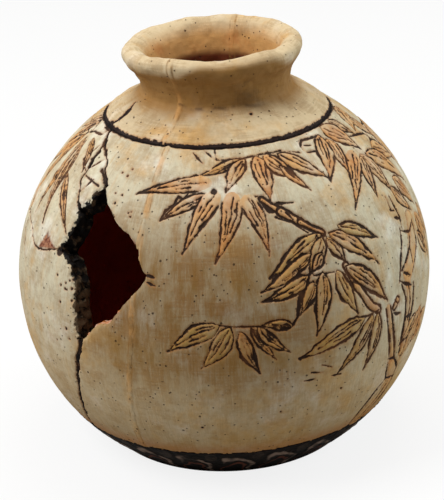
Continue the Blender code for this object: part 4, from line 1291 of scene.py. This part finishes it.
class Graph:
    """Adds shader nodes to one tree, wires them and keeps the colour laid so far."""

    def __init__(self, tree: bpy.types.NodeTree) -> None:
        """Keeps the tree and starts from black."""
        self.tree = tree
        self.colour: Value = (0.0, 0.0, 0.0, 1.0)

    def feed(self, socket: Socket, value: Value) -> None:
        """Wires another node's output in, or sets a constant."""
        if isinstance(value, Socket):
            self.tree.links.new(value, socket)
        else:
            socket.default_value = value

    def add(self, kind: str, values: dict[str | int, Value] | None = None,
            **settings: object) -> bpy.types.Node:
        """Adds a node.

        Args:
            kind: the node's type.
            values: socket name or number to what feeds it.
            settings: the node's own properties.

        Returns:
            The node.
        """
        node = self.tree.nodes.new(kind)
        for key, value in settings.items():
            setattr(node, key, value)
        for key, value in (values or {}).items():
            self.feed(node.inputs[key], value)
        return node

    def use(self, group: bpy.types.NodeTree, **values: Value) -> Sockets:
        """Places a shared effect with its own values and gives its outputs."""
        return self.add("ShaderNodeGroup", values, node_tree=group).outputs

    def math(self, operation: str, first: Value, second: Value = 0.0) -> Socket:
        """A Math node's value."""
        return self.add("ShaderNodeMath", {0: first, 1: second}, operation=operation).outputs[0]

    def times(self, first: Value, *others: Value) -> Value:
        """The product of the values."""
        return functools.reduce(lambda a, b: self.math("MULTIPLY", a, b), others, first)

    def plus(self, first: Value, second: Value) -> Socket:
        """The sum of two values."""
        return self.math("ADD", first, second)

    def flip(self, value: Value) -> Socket:
        """One less the value."""
        return self.math("SUBTRACT", 1.0, value)

    def step(self, value: Value, low: float, high: float) -> Socket:
        """Smooth step of a value: 0 at low, 1 at high."""
        ends = {"Value": value, "From Min": low, "From Max": high}
        return self.add("ShaderNodeMapRange", ends, interpolation_type="SMOOTHSTEP").outputs["Result"]

    def fade(self, value: Value, low: float, high: float) -> Socket:
        """Smooth step down: 1 at low, 0 at high."""
        return self.flip(self.step(value, low, high))

    def mix(self, amount: Value, first: Value, second: Value) -> Socket:
        """A colour mix: the first at 0, the second at 1."""
        return self.add("ShaderNodeMix", {0: amount, 6: first, 7: second}, data_type="RGBA").outputs[2]

    def lay(self, amount: Value, colour: Value) -> None:
        """Lays a colour over what is there, as strong as the amount."""
        self.colour = self.mix(amount, self.colour, colour)

    def note(self, name: str, vector: bool = False) -> Socket:
        """What is written on the vertices under this name."""
        node = self.add("ShaderNodeAttribute", attribute_name=name)
        return node.outputs["Vector" if vector else "Fac"]

    def noise(self, vector: Value, scale: float, detail: float = 3.0, roughness: float = 0.55) -> Socket:
        """A Noise node's value."""
        values = {"Vector": vector, "Scale": scale, "Detail": detail, "Roughness": roughness}
        return self.add("ShaderNodeTexNoise", values).outputs["Fac"]

    def patch(self, vector: Value, scale: float, detail: float, low: float, high: float) -> Socket:
        """Patches of noise: 0 where it is below low, 1 where it is above high."""
        return self.step(self.noise(vector, scale, detail), low, high)

    def ragged(self, value: Value, place: Socket, scale: float, detail: float, amount: float) -> Socket:
        """The value pushed to and fro by fine noise, so that its edge is ragged."""
        return self.plus(value, self.times(self.math("SUBTRACT", self.noise(place, scale, detail), 0.5),
                                           amount))

    def stretch(self, vector: Value, across: float, upward: float) -> Socket:
        """Wall coordinates scaled across and upward."""
        return self.add("ShaderNodeMapping",
                        {"Vector": vector, "Scale": (across, upward, 1.0)}).outputs["Vector"]


Fill = Callable[[Graph, Sockets], tuple[Socket, ...]]


def effect(name: str, inputs: dict[str, float | None], outputs: tuple[str, ...],
           fill: Fill) -> bpy.types.NodeTree:
    """Makes a shader node group.

    Args:
        name: the group's name.
        inputs: socket names; None makes a vector, a number makes a value with that default.
        outputs: names of the values it puts out.
        fill: builds the inside from the graph and the input sockets.

    Returns:
        The group.
    """
    tree = bpy.data.node_groups.new(name, "ShaderNodeTree")
    for key, value in inputs.items():
        kind = "NodeSocketVector" if value is None else "NodeSocketFloat"
        socket = tree.interface.new_socket(key, in_out="INPUT", socket_type=kind)
        if value is not None:
            socket.default_value = value
    for key in outputs:
        tree.interface.new_socket(key, in_out="OUTPUT", socket_type="NodeSocketFloat")
    graph = Graph(tree)
    results = fill(graph, graph.add("NodeGroupInput").outputs)
    graph.add("NodeGroupOutput", dict(zip(outputs, results)))
    return tree


class Effects:
    """The effects that several finishes share, each a node group built once."""

    def __init__(self) -> None:
        """Builds every group."""
        height = ("Mask", "Height")
        self.streaks = effect("brush streaks", {"Wall": None, "Fineness": 1.0}, height, self.fill_streaks)
        stains = ("Golden", "Brown", "Pale")
        self.stains = effect("clay stains", {"Place": None, "Amount": 0.5}, stains, self.fill_stains)
        self.pinholes = effect("pinholes", {"Place": None, "Density": 0.5}, height, self.fill_pinholes)
        self.grit = effect("clay grit", {"Place": None}, height, self.fill_grit)

    @staticmethod
    def fill_streaks(g: Graph, given: Sockets) -> tuple[Socket, ...]:
        """Long upright hair marks crossed by fainter level ones."""
        values = {0: given["Wall"], "Scale": given["Fineness"]}
        fine = g.add("ShaderNodeVectorMath", values, operation="SCALE").outputs[0]
        upright = g.noise(g.stretch(fine, 1.15, 0.09), 1.0, 3.0, 0.6)
        level = g.noise(g.stretch(fine, 0.08, 1.25), 1.0, 3.0, 0.6)
        crossed = g.times(level, g.patch(g.stretch(fine, 0.07, 0.08), 1.0, 2.0, 0.42, 0.6))
        both = g.plus(g.times(upright, 0.66), g.times(crossed, 0.5))
        return g.step(both, 0.42, 0.6), both

    @staticmethod
    def fill_stains(g: Graph, given: Sockets) -> tuple[Socket, ...]:
        """Golden and brown patches of several sizes, and pale worn places."""
        place, amount = given["Place"], given["Amount"]
        large, small = g.noise(place, 26.0, 4.0, 0.6), g.noise(place, 95.0, 4.0, 0.65)
        golden = g.step(g.plus(g.times(large, 0.62), g.times(small, 0.38)), 0.5, 0.64)
        brown = g.step(g.noise(place, 44.0, 5.0, 0.7), 0.55, 0.72)
        pale = g.step(g.noise(place, 60.0, 3.0, 0.6), 0.52, 0.68)
        return g.times(golden, amount), g.times(brown, amount), pale

    @staticmethod
    def fill_pinholes(g: Graph, given: Sockets) -> tuple[Socket, ...]:
        """Sparse round holes of two sizes."""
        sizes = []
        for scale, edge in ((260.0, 0.12), (520.0, 0.17)):
            cells = g.add("ShaderNodeTexVoronoi",
                          {"Vector": given["Place"], "Scale": scale, "Randomness": 1.0})
            keep = g.step(g.plus(cells.outputs["Color"], g.times(given["Density"], 0.4)), 0.86, 0.9)
            sizes.append(g.times(g.fade(cells.outputs["Distance"], edge * 0.6, edge), keep))
        mask = g.math("MAXIMUM", *sizes)
        return mask, g.flip(mask)

    @staticmethod
    def fill_grit(g: Graph, given: Sockets) -> tuple[Socket, ...]:
        """Fine sandy grain."""
        grain = g.noise(given["Place"], 700.0, 4.0, 0.7)
        lumps = g.noise(given["Place"], 240.0, 3.0, 0.6)
        return g.step(grain, 0.4, 0.7), g.plus(g.times(grain, 0.4), lumps)


def shade(red: int, green: int, blue: int) -> Colour:
    """A linear colour from the 0 to 255 numbers of a paint chart."""
    linear = [((c / 255.0 + 0.055) / 1.055) ** 2.4 if c > 10 else c / 255.0 / 12.92 for c in (red, green,
                                                                                              blue)]
    return (*linear, 1.0)


@dataclass(frozen=True)
class ClayPalette:
    """Colours of the clay, its slips and its washes."""

    cream: Colour = shade(210, 201, 174)
    pale: Colour = shade(230, 225, 207)
    golden: Colour = shade(212, 164, 94)
    low_golden: Colour = shade(206, 158, 82)
    brown: Colour = shade(140, 98, 48)
    # Brown of the wash, also laid as painted shade over the front and the low belly.
    wash_and_shade: Colour = shade(128, 90, 24)
    # Brown of the neck waist, darkened as painted shade under the rim, lighter and darker.
    waist_slip_and_shade: Colour = shade(150, 104, 38)
    waist_slip_and_shade_dark: Colour = shade(98, 66, 22)
    peach: Colour = shade(222, 164, 102)
    rust: Colour = shade(182, 108, 50)
    green: Colour = shade(168, 142, 66)
    ink: Colour = shade(34, 16, 10)
    pale_ink: Colour = shade(84, 48, 26)
    pit: Colour = shade(64, 34, 16)
    # Painted shadow of the crease at the neck's base.
    crease_shadow: Colour = shade(82, 56, 34)
    black: Colour = shade(12, 8, 6)
    soot: Colour = shade(92, 74, 54)
    red: Colour = shade(118, 50, 30)
    inside: Colour = shade(92, 34, 20)
    lining: Colour = shade(214, 84, 44)
    lining_dark: Colour = shade(140, 48, 24)
    mouth: Colour = shade(206, 156, 96)
    mouth_stain: Colour = shade(186, 118, 62)
    # Red clay of the throat with painted shade, lighter and darker.
    throat_clay_and_shade: Colour = shade(96, 40, 18)
    throat_clay_and_shade_dark: Colour = shade(44, 16, 8)
    seam: Colour = shade(214, 158, 92)
    orange: Colour = shade(190, 118, 52)
    raw: Colour = shade(216, 172, 146)
    chip: Colour = shade(104, 50, 34)
    chip_pale: Colour = shade(168, 116, 86)
    foot: Colour = shade(11, 8, 6)
    petal: Colour = shade(150, 126, 110)
    petal_arch: Colour = shade(112, 62, 44)


@dataclass(frozen=True)
class Finish:
    """What the finishes share: their effects and palette, and the wiring of the shader."""

    effects: Effects
    name: str = "clay"
    bump: float = 0.0005
    specular: float = 0.2
    palette: ClayPalette = ClayPalette()

    def layers(self, g: Graph, place: Socket) -> tuple[Value, Value]:
        """Lays the colours from the bottom up.

        Args:
            g: the material's graph.
            place: object coordinates.

        Returns:
            Roughness and relief.
        """
        raise NotImplementedError

    def make(self) -> Material:
        """Builds the material, with its colour, roughness and bump wired to one shader."""
        material = bpy.data.materials.new(self.name)
        material.use_nodes = True
        shader = material.node_tree.nodes["Principled BSDF"]
        g = Graph(material.node_tree)
        rough, relief = self.layers(g, g.add("ShaderNodeTexCoord").outputs["Object"])
        bump = g.add("ShaderNodeBump", {"Strength": 1.0, "Distance": self.bump, "Height": relief})
        wires = {"Base Color": g.colour, "Roughness": rough, "Normal": bump.outputs["Normal"]}
        for socket, value in (wires | {"Metallic": 0.0, "Specular IOR Level": self.specular}).items():
            g.feed(shader.inputs[socket], value)
        return material

    def slip_relief(self, g: Graph, streaks: Sockets, pins: Sockets, grit: Sockets, grain: float) -> Socket:
        """Relief of brush marks, pinholes and grit together."""
        return g.plus(g.plus(g.times(streaks["Height"], 0.5), pins["Height"]), g.times(grit["Height"], grain))


@dataclass(frozen=True)
class SlippedWall(Finish):
    """Brushed cream slip with the incised drawing, broken edges and the red clay inside."""

    name: str = "brushed cream slip"
    stained: float = 0.8
    pitted: float = 0.7
    roughness: float = 0.72

    def layers(self, g: Graph, place: Socket) -> tuple[Value, Value]:
        """Slip, drawing, then the broken edges and the lining."""
        c, fx, wall = self.palette, self.effects, g.note("wall", True)
        rise = g.add("ShaderNodeSeparateXYZ", {0: wall}).outputs[1]
        streaks = g.use(fx.streaks, Wall=wall, Fineness=1.0)
        pins = g.use(fx.pinholes, Place=place, Density=self.pitted)
        grit = g.use(fx.grit, Place=place)
        self.slip(g, place, wall, rise, streaks)
        self.leaves(g, place)
        g.lay(g.times(pins["Mask"], 0.75), c.ink)
        g.lay(g.times(grit["Mask"], 0.16), c.brown)
        self.lines(g, place, wall)
        self.broken(g, place, rise)
        relief = self.slip_relief(g, streaks, pins, grit, 0.35)
        return g.plus(self.roughness, g.times(streaks["Mask"], 0.15)), relief

    def slip(self, g: Graph, place: Socket, wall: Socket, rise: Socket, streaks: Sockets) -> None:
        """Cream slip with golden stains, the brown wash mixed with painted shade over the front and low down,
        the seam's stain and the warm foot.
        """
        c = self.palette
        stains = g.use(self.effects.stains, Place=place, Amount=self.stained)
        runs = g.noise(g.stretch(wall, 0.3, 0.075), 1.0, 6.0, 0.74)
        g.colour = g.mix(stains["Pale"], c.cream, c.pale)
        g.lay(g.times(stains["Golden"], 0.8), c.golden)
        g.lay(g.times(g.step(runs, 0.45, 0.75), 0.35), c.golden)
        g.lay(g.times(g.step(g.noise(place, 170.0, 6.0, 0.75), 0.46, 0.66), 0.3), c.brown)
        # Brown wash laid with painted shade over the front band and the low belly.
        g.lay(g.times(g.note("wash_and_shade"), g.plus(0.58, g.times(g.step(runs, 0.3, 0.7), 0.3))), c.wash_and_shade)
        g.lay(g.times(streaks["Mask"], g.plus(0.22, g.times(g.note("wash_and_shade"), 0.3))), c.brown)
        g.lay(g.times(stains["Brown"], 0.3), c.brown)
        near = g.note("seam")
        g.lay(g.times(g.fade(near, 0.4, 1.7), 0.6, g.patch(place, 120.0, 4.0, 0.38, 0.64)), c.seam)
        beside = g.fade(g.math("ABSOLUTE", g.math("SUBTRACT", near, 0.9)), 0.1, 0.4)
        g.lay(g.times(beside, g.patch(place, 230.0, 4.0, 0.42, 0.6), 0.6), c.brown)
        g.lay(g.times(g.fade(rise, 24.0, 78.0), 0.42), c.low_golden)
        g.lay(g.times(g.fade(rise, 16.0, 24.0), 0.6), c.orange)

    def leaves(self, g: Graph, place: Socket) -> None:
        """Uneven peach, rust and green fills in the leaves, with a faint halo."""
        c = self.palette
        tint = g.mix(g.patch(place, 120.0, 3.0, 0.4, 0.7), c.peach, c.rust)
        tint = g.mix(g.times(g.note("green"), 0.8), tint, c.green)
        uneven = g.plus(0.2, g.times(g.patch(place, 130.0, 3.0, 0.34, 0.66), 0.62))
        g.lay(g.times(g.fade(g.note("leaf"), -0.25, 0.15), uneven), tint)
        g.lay(g.times(g.fade(g.note("leaf"), -0.2, 2.4), 0.1), c.golden)

    def lines(self, g: Graph, place: Socket, wall: Socket) -> None:
        """Loose level scratches, then the incised lines with their rusty edges."""
        c = self.palette
        dash = g.step(g.noise(g.stretch(wall, 0.32, 1.7), 1.0, 2.0, 0.5), 0.7, 0.76)
        group = g.patch(g.stretch(wall, 0.05, 0.06), 1.0, 1.0, 0.5, 0.6)
        g.lay(g.times(dash, group, 0.6), c.ink)
        edge = g.ragged(g.note("ink"), place, 850.0, 3.0, 0.8)
        edge = g.ragged(edge, place, 260.0, 3.0, 0.5)
        g.lay(g.times(g.fade(edge, 0.0, 0.6), 0.34), c.rust)
        pen = g.mix(g.patch(place, 75.0, 3.0, 0.44, 0.66), c.ink, c.pale_ink)
        g.lay(g.times(g.fade(edge, -0.12, 0.14), 0.96), pen)

    def broken(self, g: Graph, place: Socket, rise: Socket) -> None:
        """The chip, the raw clay through the wall, the lining, and soot over all of them."""
        c, depth = self.palette, g.note("depth")
        g.lay(g.note("chip"), g.mix(g.patch(place, 600.0, 3.0, 0.4, 0.6), c.chip, c.chip_pale))
        g.lay(g.step(depth, 0.25, 0.9), g.mix(g.patch(place, 420.0, 4.0, 0.35, 0.65), c.rust, c.raw))
        g.lay(g.step(depth, 6.6, 7.4), g.mix(g.noise(place, 60.0, 4.0), c.lining, c.lining_dark))
        ashy = g.plus(g.noise(place, 380.0, 4.0), g.times(g.fade(rise, 76.0, 90.0), 0.13))
        sooty = g.fade(g.ragged(g.note("burn"), place, 1300.0, 2.0, 1.6), -0.15, 0.2)
        g.lay(sooty, g.mix(g.step(ashy, 0.52, 0.72), c.black, c.soot))


@dataclass(frozen=True)
class GoldenNeck(Finish):
    """The collar, neck and rim: golden stains, and brown slip with painted shade under a worn pale rim."""

    name: str = "golden neck slip"
    bump: float = 0.0004
    stained: float = 0.95
    fineness: float = 1.2
    roughness: float = 0.66

    def layers(self, g: Graph, place: Socket) -> tuple[Value, Value]:
        """Slip, the golden waist with painted shade under the rim, the mouth, the throat with painted shade,
        then the seam, the painted shadow of the crease, and lines.
        """
        c, fx, rise, inside = self.palette, self.effects, g.note("rise"), g.note("inside")
        streaks = g.use(fx.streaks, Wall=g.note("wall", True), Fineness=self.fineness)
        stains = g.use(fx.stains, Place=place, Amount=self.stained)
        pins = g.use(fx.pinholes, Place=place, Density=g.plus(0.6, g.times(inside, 0.3)))
        grit = g.use(fx.grit, Place=place)
        g.colour = g.mix(stains["Pale"], c.cream, c.pale)
        g.lay(g.plus(0.34, g.times(stains["Golden"], 0.55)), c.golden)
        # Brown waist slip with painted shade under the rim, darkest just below the pale band.
        waist_slip_and_shade = g.times(g.step(rise, 0.04, 0.26), g.fade(rise, 0.88, 0.99), 0.88)
        g.lay(waist_slip_and_shade, g.mix(stains["Brown"], c.waist_slip_and_shade, c.waist_slip_and_shade_dark))
        g.lay(g.times(streaks["Mask"], 0.26), c.brown)
        g.lay(g.times(stains["Brown"], 0.3), c.brown)
        g.lay(g.times(inside, 0.8), g.mix(stains["Golden"], c.mouth, c.mouth_stain))
        # The throat's red clay with painted shade going down into the pot.
        g.lay(g.note("throat_clay_and_shade"), g.mix(stains["Golden"], c.throat_clay_and_shade, c.throat_clay_and_shade_dark))
        near, low_seam = g.note("seam"), g.math("SUBTRACT", 0.75, g.times(rise, 0.6))
        g.lay(g.times(g.fade(near, 0.3, 1.6), low_seam, g.patch(place, 130.0, 4.0, 0.38, 0.66)), c.seam)
        beside = g.fade(g.math("ABSOLUTE", g.math("SUBTRACT", near, 0.95)), 0.12, 0.45)
        g.lay(g.times(beside, g.patch(place, 210.0, 3.0, 0.4, 0.6), 0.6), c.brown)
        # Painted shadow along the crease at the neck's base.
        g.lay(g.times(g.note("crease_shadow"), g.patch(place, 240.0, 4.0, 0.36, 0.58), 0.75), c.crease_shadow)
        g.lay(g.times(pins["Mask"], 0.8), c.pit)
        g.lay(g.times(grit["Mask"], 0.12), c.brown)
        edge = g.ragged(g.note("ink"), place, 1100.0, 2.0, 1.1)
        g.lay(g.times(g.fade(edge, 0.0, 0.7), 0.4), c.rust)
        g.lay(g.fade(edge, -0.18, 0.12), c.ink)
        relief = self.slip_relief(g, streaks, pins, grit, 0.4)
        return g.plus(self.roughness, g.times(streaks["Mask"], 0.18)), relief


@dataclass(frozen=True)
class Filler(Finish):
    """Crumbly dark filler between the clay pieces."""

    roughness: float = 0.9

    def layers(self, g: Graph, place: Socket) -> tuple[Value, Value]:
        """Black grains among dark brown ones."""
        c, grit = self.palette, g.use(self.effects.grit, Place=place)
        stains = g.use(self.effects.stains, Place=place, Amount=0.8)
        g.colour = g.mix(grit["Mask"], c.black, c.ink)
        g.lay(g.times(stains["Golden"], 0.3), c.ink)
        return self.roughness, grit["Height"]


@dataclass(frozen=True)
class CarvedFoot(Finish):
    """Black-brown wash with greyish petal rims and a reddish arch in each petal."""

    name: str = "dark carved foot"
    bump: float = 0.0004
    roughness: float = 0.7

    def layers(self, g: Graph, place: Socket) -> tuple[Value, Value]:
        """The dark wash, then what is rubbed off the petals."""
        c, grit = self.palette, g.use(self.effects.grit, Place=place)
        stains = g.use(self.effects.stains, Place=place, Amount=0.9)
        worn = g.patch(place, 160.0, 3.0, 0.34, 0.62)
        g.colour = g.mix(g.times(stains["Golden"], 0.25), c.foot, c.ink)
        g.lay(g.times(g.step(g.note("arch"), 0.45, 0.9), worn), c.petal)
        g.lay(g.times(g.step(g.note("inner_arch"), 0.5, 0.95), 0.8), c.petal_arch)
        g.lay(g.times(grit["Mask"], 0.06), c.brown)
        return self.roughness, grit["Height"]


@dataclass(frozen=True)
class BareClay(Finish):
    """The floor's bare red clay, with soot in the middle."""

    name: str = "bare red clay"
    roughness: float = 0.9

    def layers(self, g: Graph, place: Socket) -> tuple[Value, Value]:
        """Two reds in turning streaks, with soot over them."""
        c, grit = self.palette, g.use(self.effects.grit, Place=place)
        streaks = g.use(self.effects.streaks, Wall=g.note("wall", True), Fineness=0.8)
        g.colour = g.mix(streaks["Mask"], c.red, c.inside)
        g.lay(g.times(g.patch(place, 38.0, 4.0, 0.4, 0.6), 0.6), c.black)
        return self.roughness, grit["Height"]


# ---------------------------------------------------------------- stage and camera


@dataclass(frozen=True)
class Stage:
    """Pale floor, soft studio lights and the camera."""

    target_height: float = 0.061
    belly_radius: float = 0.075
    camera_azimuth: float = 38.0
    camera_elevation: float = 23.5
    camera_distance: float = 9.0
    roll: float = -2.4
    lens: float = 132.66
    shift: tuple[float, float] = (-0.0038, 0.0306)

    def floor(self) -> None:
        """A wide pale floor that looks nearly white and bounces little light."""
        edge = 4.0
        mesh = bpy.data.meshes.new("floor")
        corners = [(-edge, -edge, 0.0), (edge, -edge, 0.0), (edge, edge, 0.0), (-edge, edge, 0.0)]
        mesh.from_pydata(corners, [], [(0, 1, 2, 3)])
        floor = bpy.data.objects.new("floor", mesh)
        bpy.context.scene.collection.objects.link(floor)
        material = bpy.data.materials.new("pale floor")
        material.use_nodes = True
        g = Graph(material.node_tree)
        shader = material.node_tree.nodes["Principled BSDF"]
        shader.inputs["Roughness"].default_value = 0.9
        shader.inputs["Base Color"].default_value = (0.35, 0.35, 0.35, 1.0)
        glow = g.add("ShaderNodeEmission", {"Color": (1.0, 1.0, 1.0, 1.0), "Strength": 1.0})
        lit = g.add("ShaderNodeBsdfDiffuse", {"Color": (0.9, 0.9, 0.9, 1.0)})
        seen = g.add("ShaderNodeMixShader", {0: 0.16, 1: glow.outputs[0], 2: lit.outputs[0]})
        path = g.add("ShaderNodeLightPath")
        both = g.add("ShaderNodeMixShader",
                     {0: path.outputs["Is Camera Ray"], 1: shader.outputs[0], 2: seen.outputs[0]})
        g.tree.links.new(both.outputs[0], g.tree.nodes["Material Output"].inputs["Surface"])
        mesh.materials.append(material)

    def aim(self, azimuth: float, elevation: float, distance: float) -> Matrix:
        """A place round the pot, turned so its -Z looks at the belly's middle."""
        side, rise = math.radians(azimuth), math.radians(elevation)
        away = Vector((math.sin(side) * math.cos(rise), -math.cos(side) * math.cos(rise), math.sin(rise)))
        target = Vector((0.0, 0.0, self.target_height))
        turn = away.to_track_quat("Z", "Y").to_matrix().to_4x4()
        return Matrix.Translation(target + away * distance) @ turn

    def light(self, name: str, place: Triple, size: float, power: float, colour: Triple) -> None:
        """A square soft light at (azimuth, elevation, distance)."""
        lamp = bpy.data.lights.new(name, "AREA")
        lamp.shape = "SQUARE"
        lamp.size = size
        lamp.energy = power
        lamp.color = colour
        holder = bpy.data.objects.new(name, lamp)
        holder.matrix_world = self.aim(*place)
        bpy.context.scene.collection.objects.link(holder)

    def lights(self) -> None:
        """A large soft key at upper left, paler lights behind both shoulders, one high behind, and a weak
        even world light.
        """
        view = self.camera_azimuth
        self.light("key", (view - 64.0, 50.0, 0.9), 0.45, 5.5, (1.0, 0.995, 0.985))
        self.light("right_rim", (view + 94.0, 26.0, 0.9), 0.55, 4.0, (0.94, 1.0, 0.98))
        self.light("left_rim", (view - 120.0, 24.0, 0.9), 0.45, 1.8, (0.95, 1.0, 0.98))
        self.light("top", (view + 150.0, 74.0, 0.9), 0.6, 3.4, (1.0, 0.98, 0.95))
        world = bpy.data.worlds.new("soft room")
        world.use_nodes = True
        world.node_tree.nodes["Background"].inputs["Color"].default_value = (1.0, 0.98, 0.95, 1.0)
        world.node_tree.nodes["Background"].inputs["Strength"].default_value = 0.2
        bpy.context.scene.world = world
        bpy.context.scene.view_settings.view_transform = "Standard"

    def camera(self) -> None:
        """The camera, a little above the pot and rolled so the pot leans as it should."""
        lens = bpy.data.cameras.new("camera")
        lens.lens = self.lens
        lens.sensor_width = 36.0
        lens.shift_x, lens.shift_y = self.shift
        holder = bpy.data.objects.new("camera", lens)
        place = self.aim(self.camera_azimuth, self.camera_elevation, self.camera_distance * self.belly_radius)
        holder.matrix_world = place @ Matrix.Rotation(math.radians(self.roll), 4, "Z")
        bpy.context.scene.collection.objects.link(holder)
        bpy.context.scene.camera = holder


# ---------------------------------------------------------------- the pot


@dataclass
class Pot:
    """The whole pot, from its foot to its rim."""

    wall: WallCurve
    neck_curve: NeckCurve
    lines: WallLines
    effects: Effects

    def drawing(self) -> Drawing:
        """All leaves and strokes, seen and unseen."""
        back: list[Leaf] = []
        for azimuth, height, spread, count, reach in (
            (138.0, 112.0, 55.0, 6, 20.0), (152.0, 84.0, 50.0, 6, 22.0), (176.0, 104.0, 60.0, 7, 20.0),
            (-132.0, 108.0, 55.0, 6, 20.0), (-112.0, 80.0, 50.0, 5, 20.0), (-92.0, 112.0, 60.0, 6, 18.0),
        ):
            back += spray(azimuth, height, spread, count, reach)
        stems = [
            Stroke(((112.0, 107.0), (126.0, 113.0), (138.0, 112.0), (152.0, 114.0), (176.0, 104.0)), 0.4),
            Stroke(((138.0, 112.0), (146.0, 98.0), (152.0, 84.0)), 0.5),
            Stroke(((-50.0, 118.2), (-70.0, 117.0), (-92.0, 112.0), (-112.0, 114.0), (-132.0, 108.0)), 0.4),
            Stroke(((-112.0, 114.0), (-116.0, 98.0), (-112.0, 80.0)), 0.5),
        ]
        leaves = [*back, *LEFT_LEAVES, *FRONT_LEAVES]
        strokes = [*stems, *FRONT_STROKES, *SCRATCHES, *COLLAR_MARKS]
        return Drawing(self.wall, self.neck_curve, leaves, strokes)

    def build(self) -> None:
        """Builds and dresses every piece, from the foot up."""
        drawing = self.drawing()
        foot = Foot(self.wall)
        settle(foot.ring(CarvedFoot(self.effects).make()), Slot.FOOT, "foot_ring")
        settle(foot.floor(BareClay(self.effects).make()), Slot.RED, "floor_slab")
        belly = Belly(self.wall, self.lines, drawing)
        slip = SlippedWall(self.effects).make()
        for piece in belly.pieces():
            settle(belly.build(piece, slip), Slot.CREAM, piece.name)
        neck = Neck(self.neck_curve, self.wall, drawing, self.lines)
        golden = GoldenNeck(self.effects).make()
        front, back = self.lines.neck_seam_front, self.lines.neck_seam_back
        settle(neck.half("neck_right_half_clay", front, back, golden), Slot.GOLDEN, "neck_right_half")
        settle(neck.half("neck_left_half_clay", back, front + 360.0, golden), Slot.GOLDEN, "neck_left_half")
        crack = Filler(self.effects, "crack filler").make()
        grout = Filler(self.effects, "dark clay slurry").make()
        self.seams(neck, belly, golden, slip)
        self.fills(belly, crack, grout)

    @staticmethod
    def along(chain: Pairs, count: int) -> Array:
        """Points along a line on the wall.

        Args:
            chain: the line's corners, azimuth and height.
            count: points to each stretch, both ends counted.

        Returns:
            One row for each point.
        """
        corners = np.array(chain, float)
        steps = np.linspace(0.0, 1.0, count)[:, None]
        runs = [a + (b - a) * steps[:-1] for a, b in zip(corners, corners[1:])]
        return np.vstack([*runs, corners[-1:]])

    def on_belly(self, belly: Belly, chain: Pairs) -> tuple[Array, Array]:
        """Positions and normals along a line on the belly, with its ragged shifts."""
        points = belly.ragged(self.along(chain, 24))
        return self.wall.place(*points.T), self.wall.normal(*points.T)

    def on_skin(self, belly: Belly, chain: Pairs) -> Path:
        """Positions on the finished outer face along a line, with the normals and notes there."""
        points = self.along(chain, 90)
        spots, notes = belly.outer_face(points)
        return spots, self.wall.normal(*points.T), notes

    def seams(self, neck: Neck, belly: Belly, golden: Material, slip: Material) -> None:
        """The raised seam beads left by the mould."""
        for name, azimuth in (("neck_front_seam", self.lines.neck_seam_front),
                              ("neck_back_seam", self.lines.neck_seam_back)):
            bead = FilledJoint(name, half_width=0.6, height=0.1, sink=-0.04, roughness=0.05, seed=4)
            path, away, notes = neck.seam_path(azimuth)
            settle(bead.build(path, away, golden, notes), Slot.SEAM, name + "_fill")
        back = self.lines.back_seam
        chains = {
            "front_seam_upper": ("front_seam_fill_upper", self.lines.seam_upper),
            "front_seam_lower": ("front_seam_fill_lower", self.lines.seam_lower),
            "back_seam": ("back_seam_fill", [(back, self.wall.foot), (back, self.wall.collar)]),
        }
        for name, (node, chain) in chains.items():
            bead = FilledJoint(name, half_width=0.6, height=0.1, sink=-0.04, roughness=0.05, seed=7)
            path, away, notes = self.on_skin(belly, chain)
            settle(bead.build(path, away, slip, notes), Slot.SEAM, node)

    def fills(self, belly: Belly, crack: Material, grout: Material) -> None:
        """The sunk filler in the cracks, the collar line and the line over the foot."""
        names = ("top_crack", "splinter_crack", "left_crack", "bottom_crack")
        for index, (name, chain) in enumerate(zip(names, belly.cracks)):
            strip = FilledJoint(name, half_width=0.55, height=0.15, sink=-0.9, roughness=0.15,
                                seed=11 + index)
            settle(strip.build(*self.on_belly(belly, chain), crack), Slot.CRACK, name + "_fill")
        turn = np.linspace(0.0, 360.0, 400, endpoint=False)
        for name, height, sink in (("collar_joint", self.wall.collar, -0.62),
                                   ("foot_joint", self.wall.foot, -0.35)):
            level = np.full(len(turn), height)
            ring = FilledJoint(name, half_width=0.75, height=0.2, sink=sink, roughness=0.2, closed=True,
                               seed=17)
            settle(ring.build(self.wall.place(turn, level), self.wall.normal(turn, level), grout),
                   Slot.GROUT, name + "_fill")


def main() -> None:
    """Builds the pot, the stage and the camera."""
    logging.basicConfig(level=logging.INFO, format="%(name)s %(message)s")
    low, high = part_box("belly_right_half")
    wall = WallCurve(radius=high.x / METRES)
    pot = Pot(wall, NeckCurve(), WallLines(), Effects())
    pot.build()
    stage = Stage()
    stage.floor()
    stage.lights()
    stage.camera()


if __name__ == "__main__":
    main()
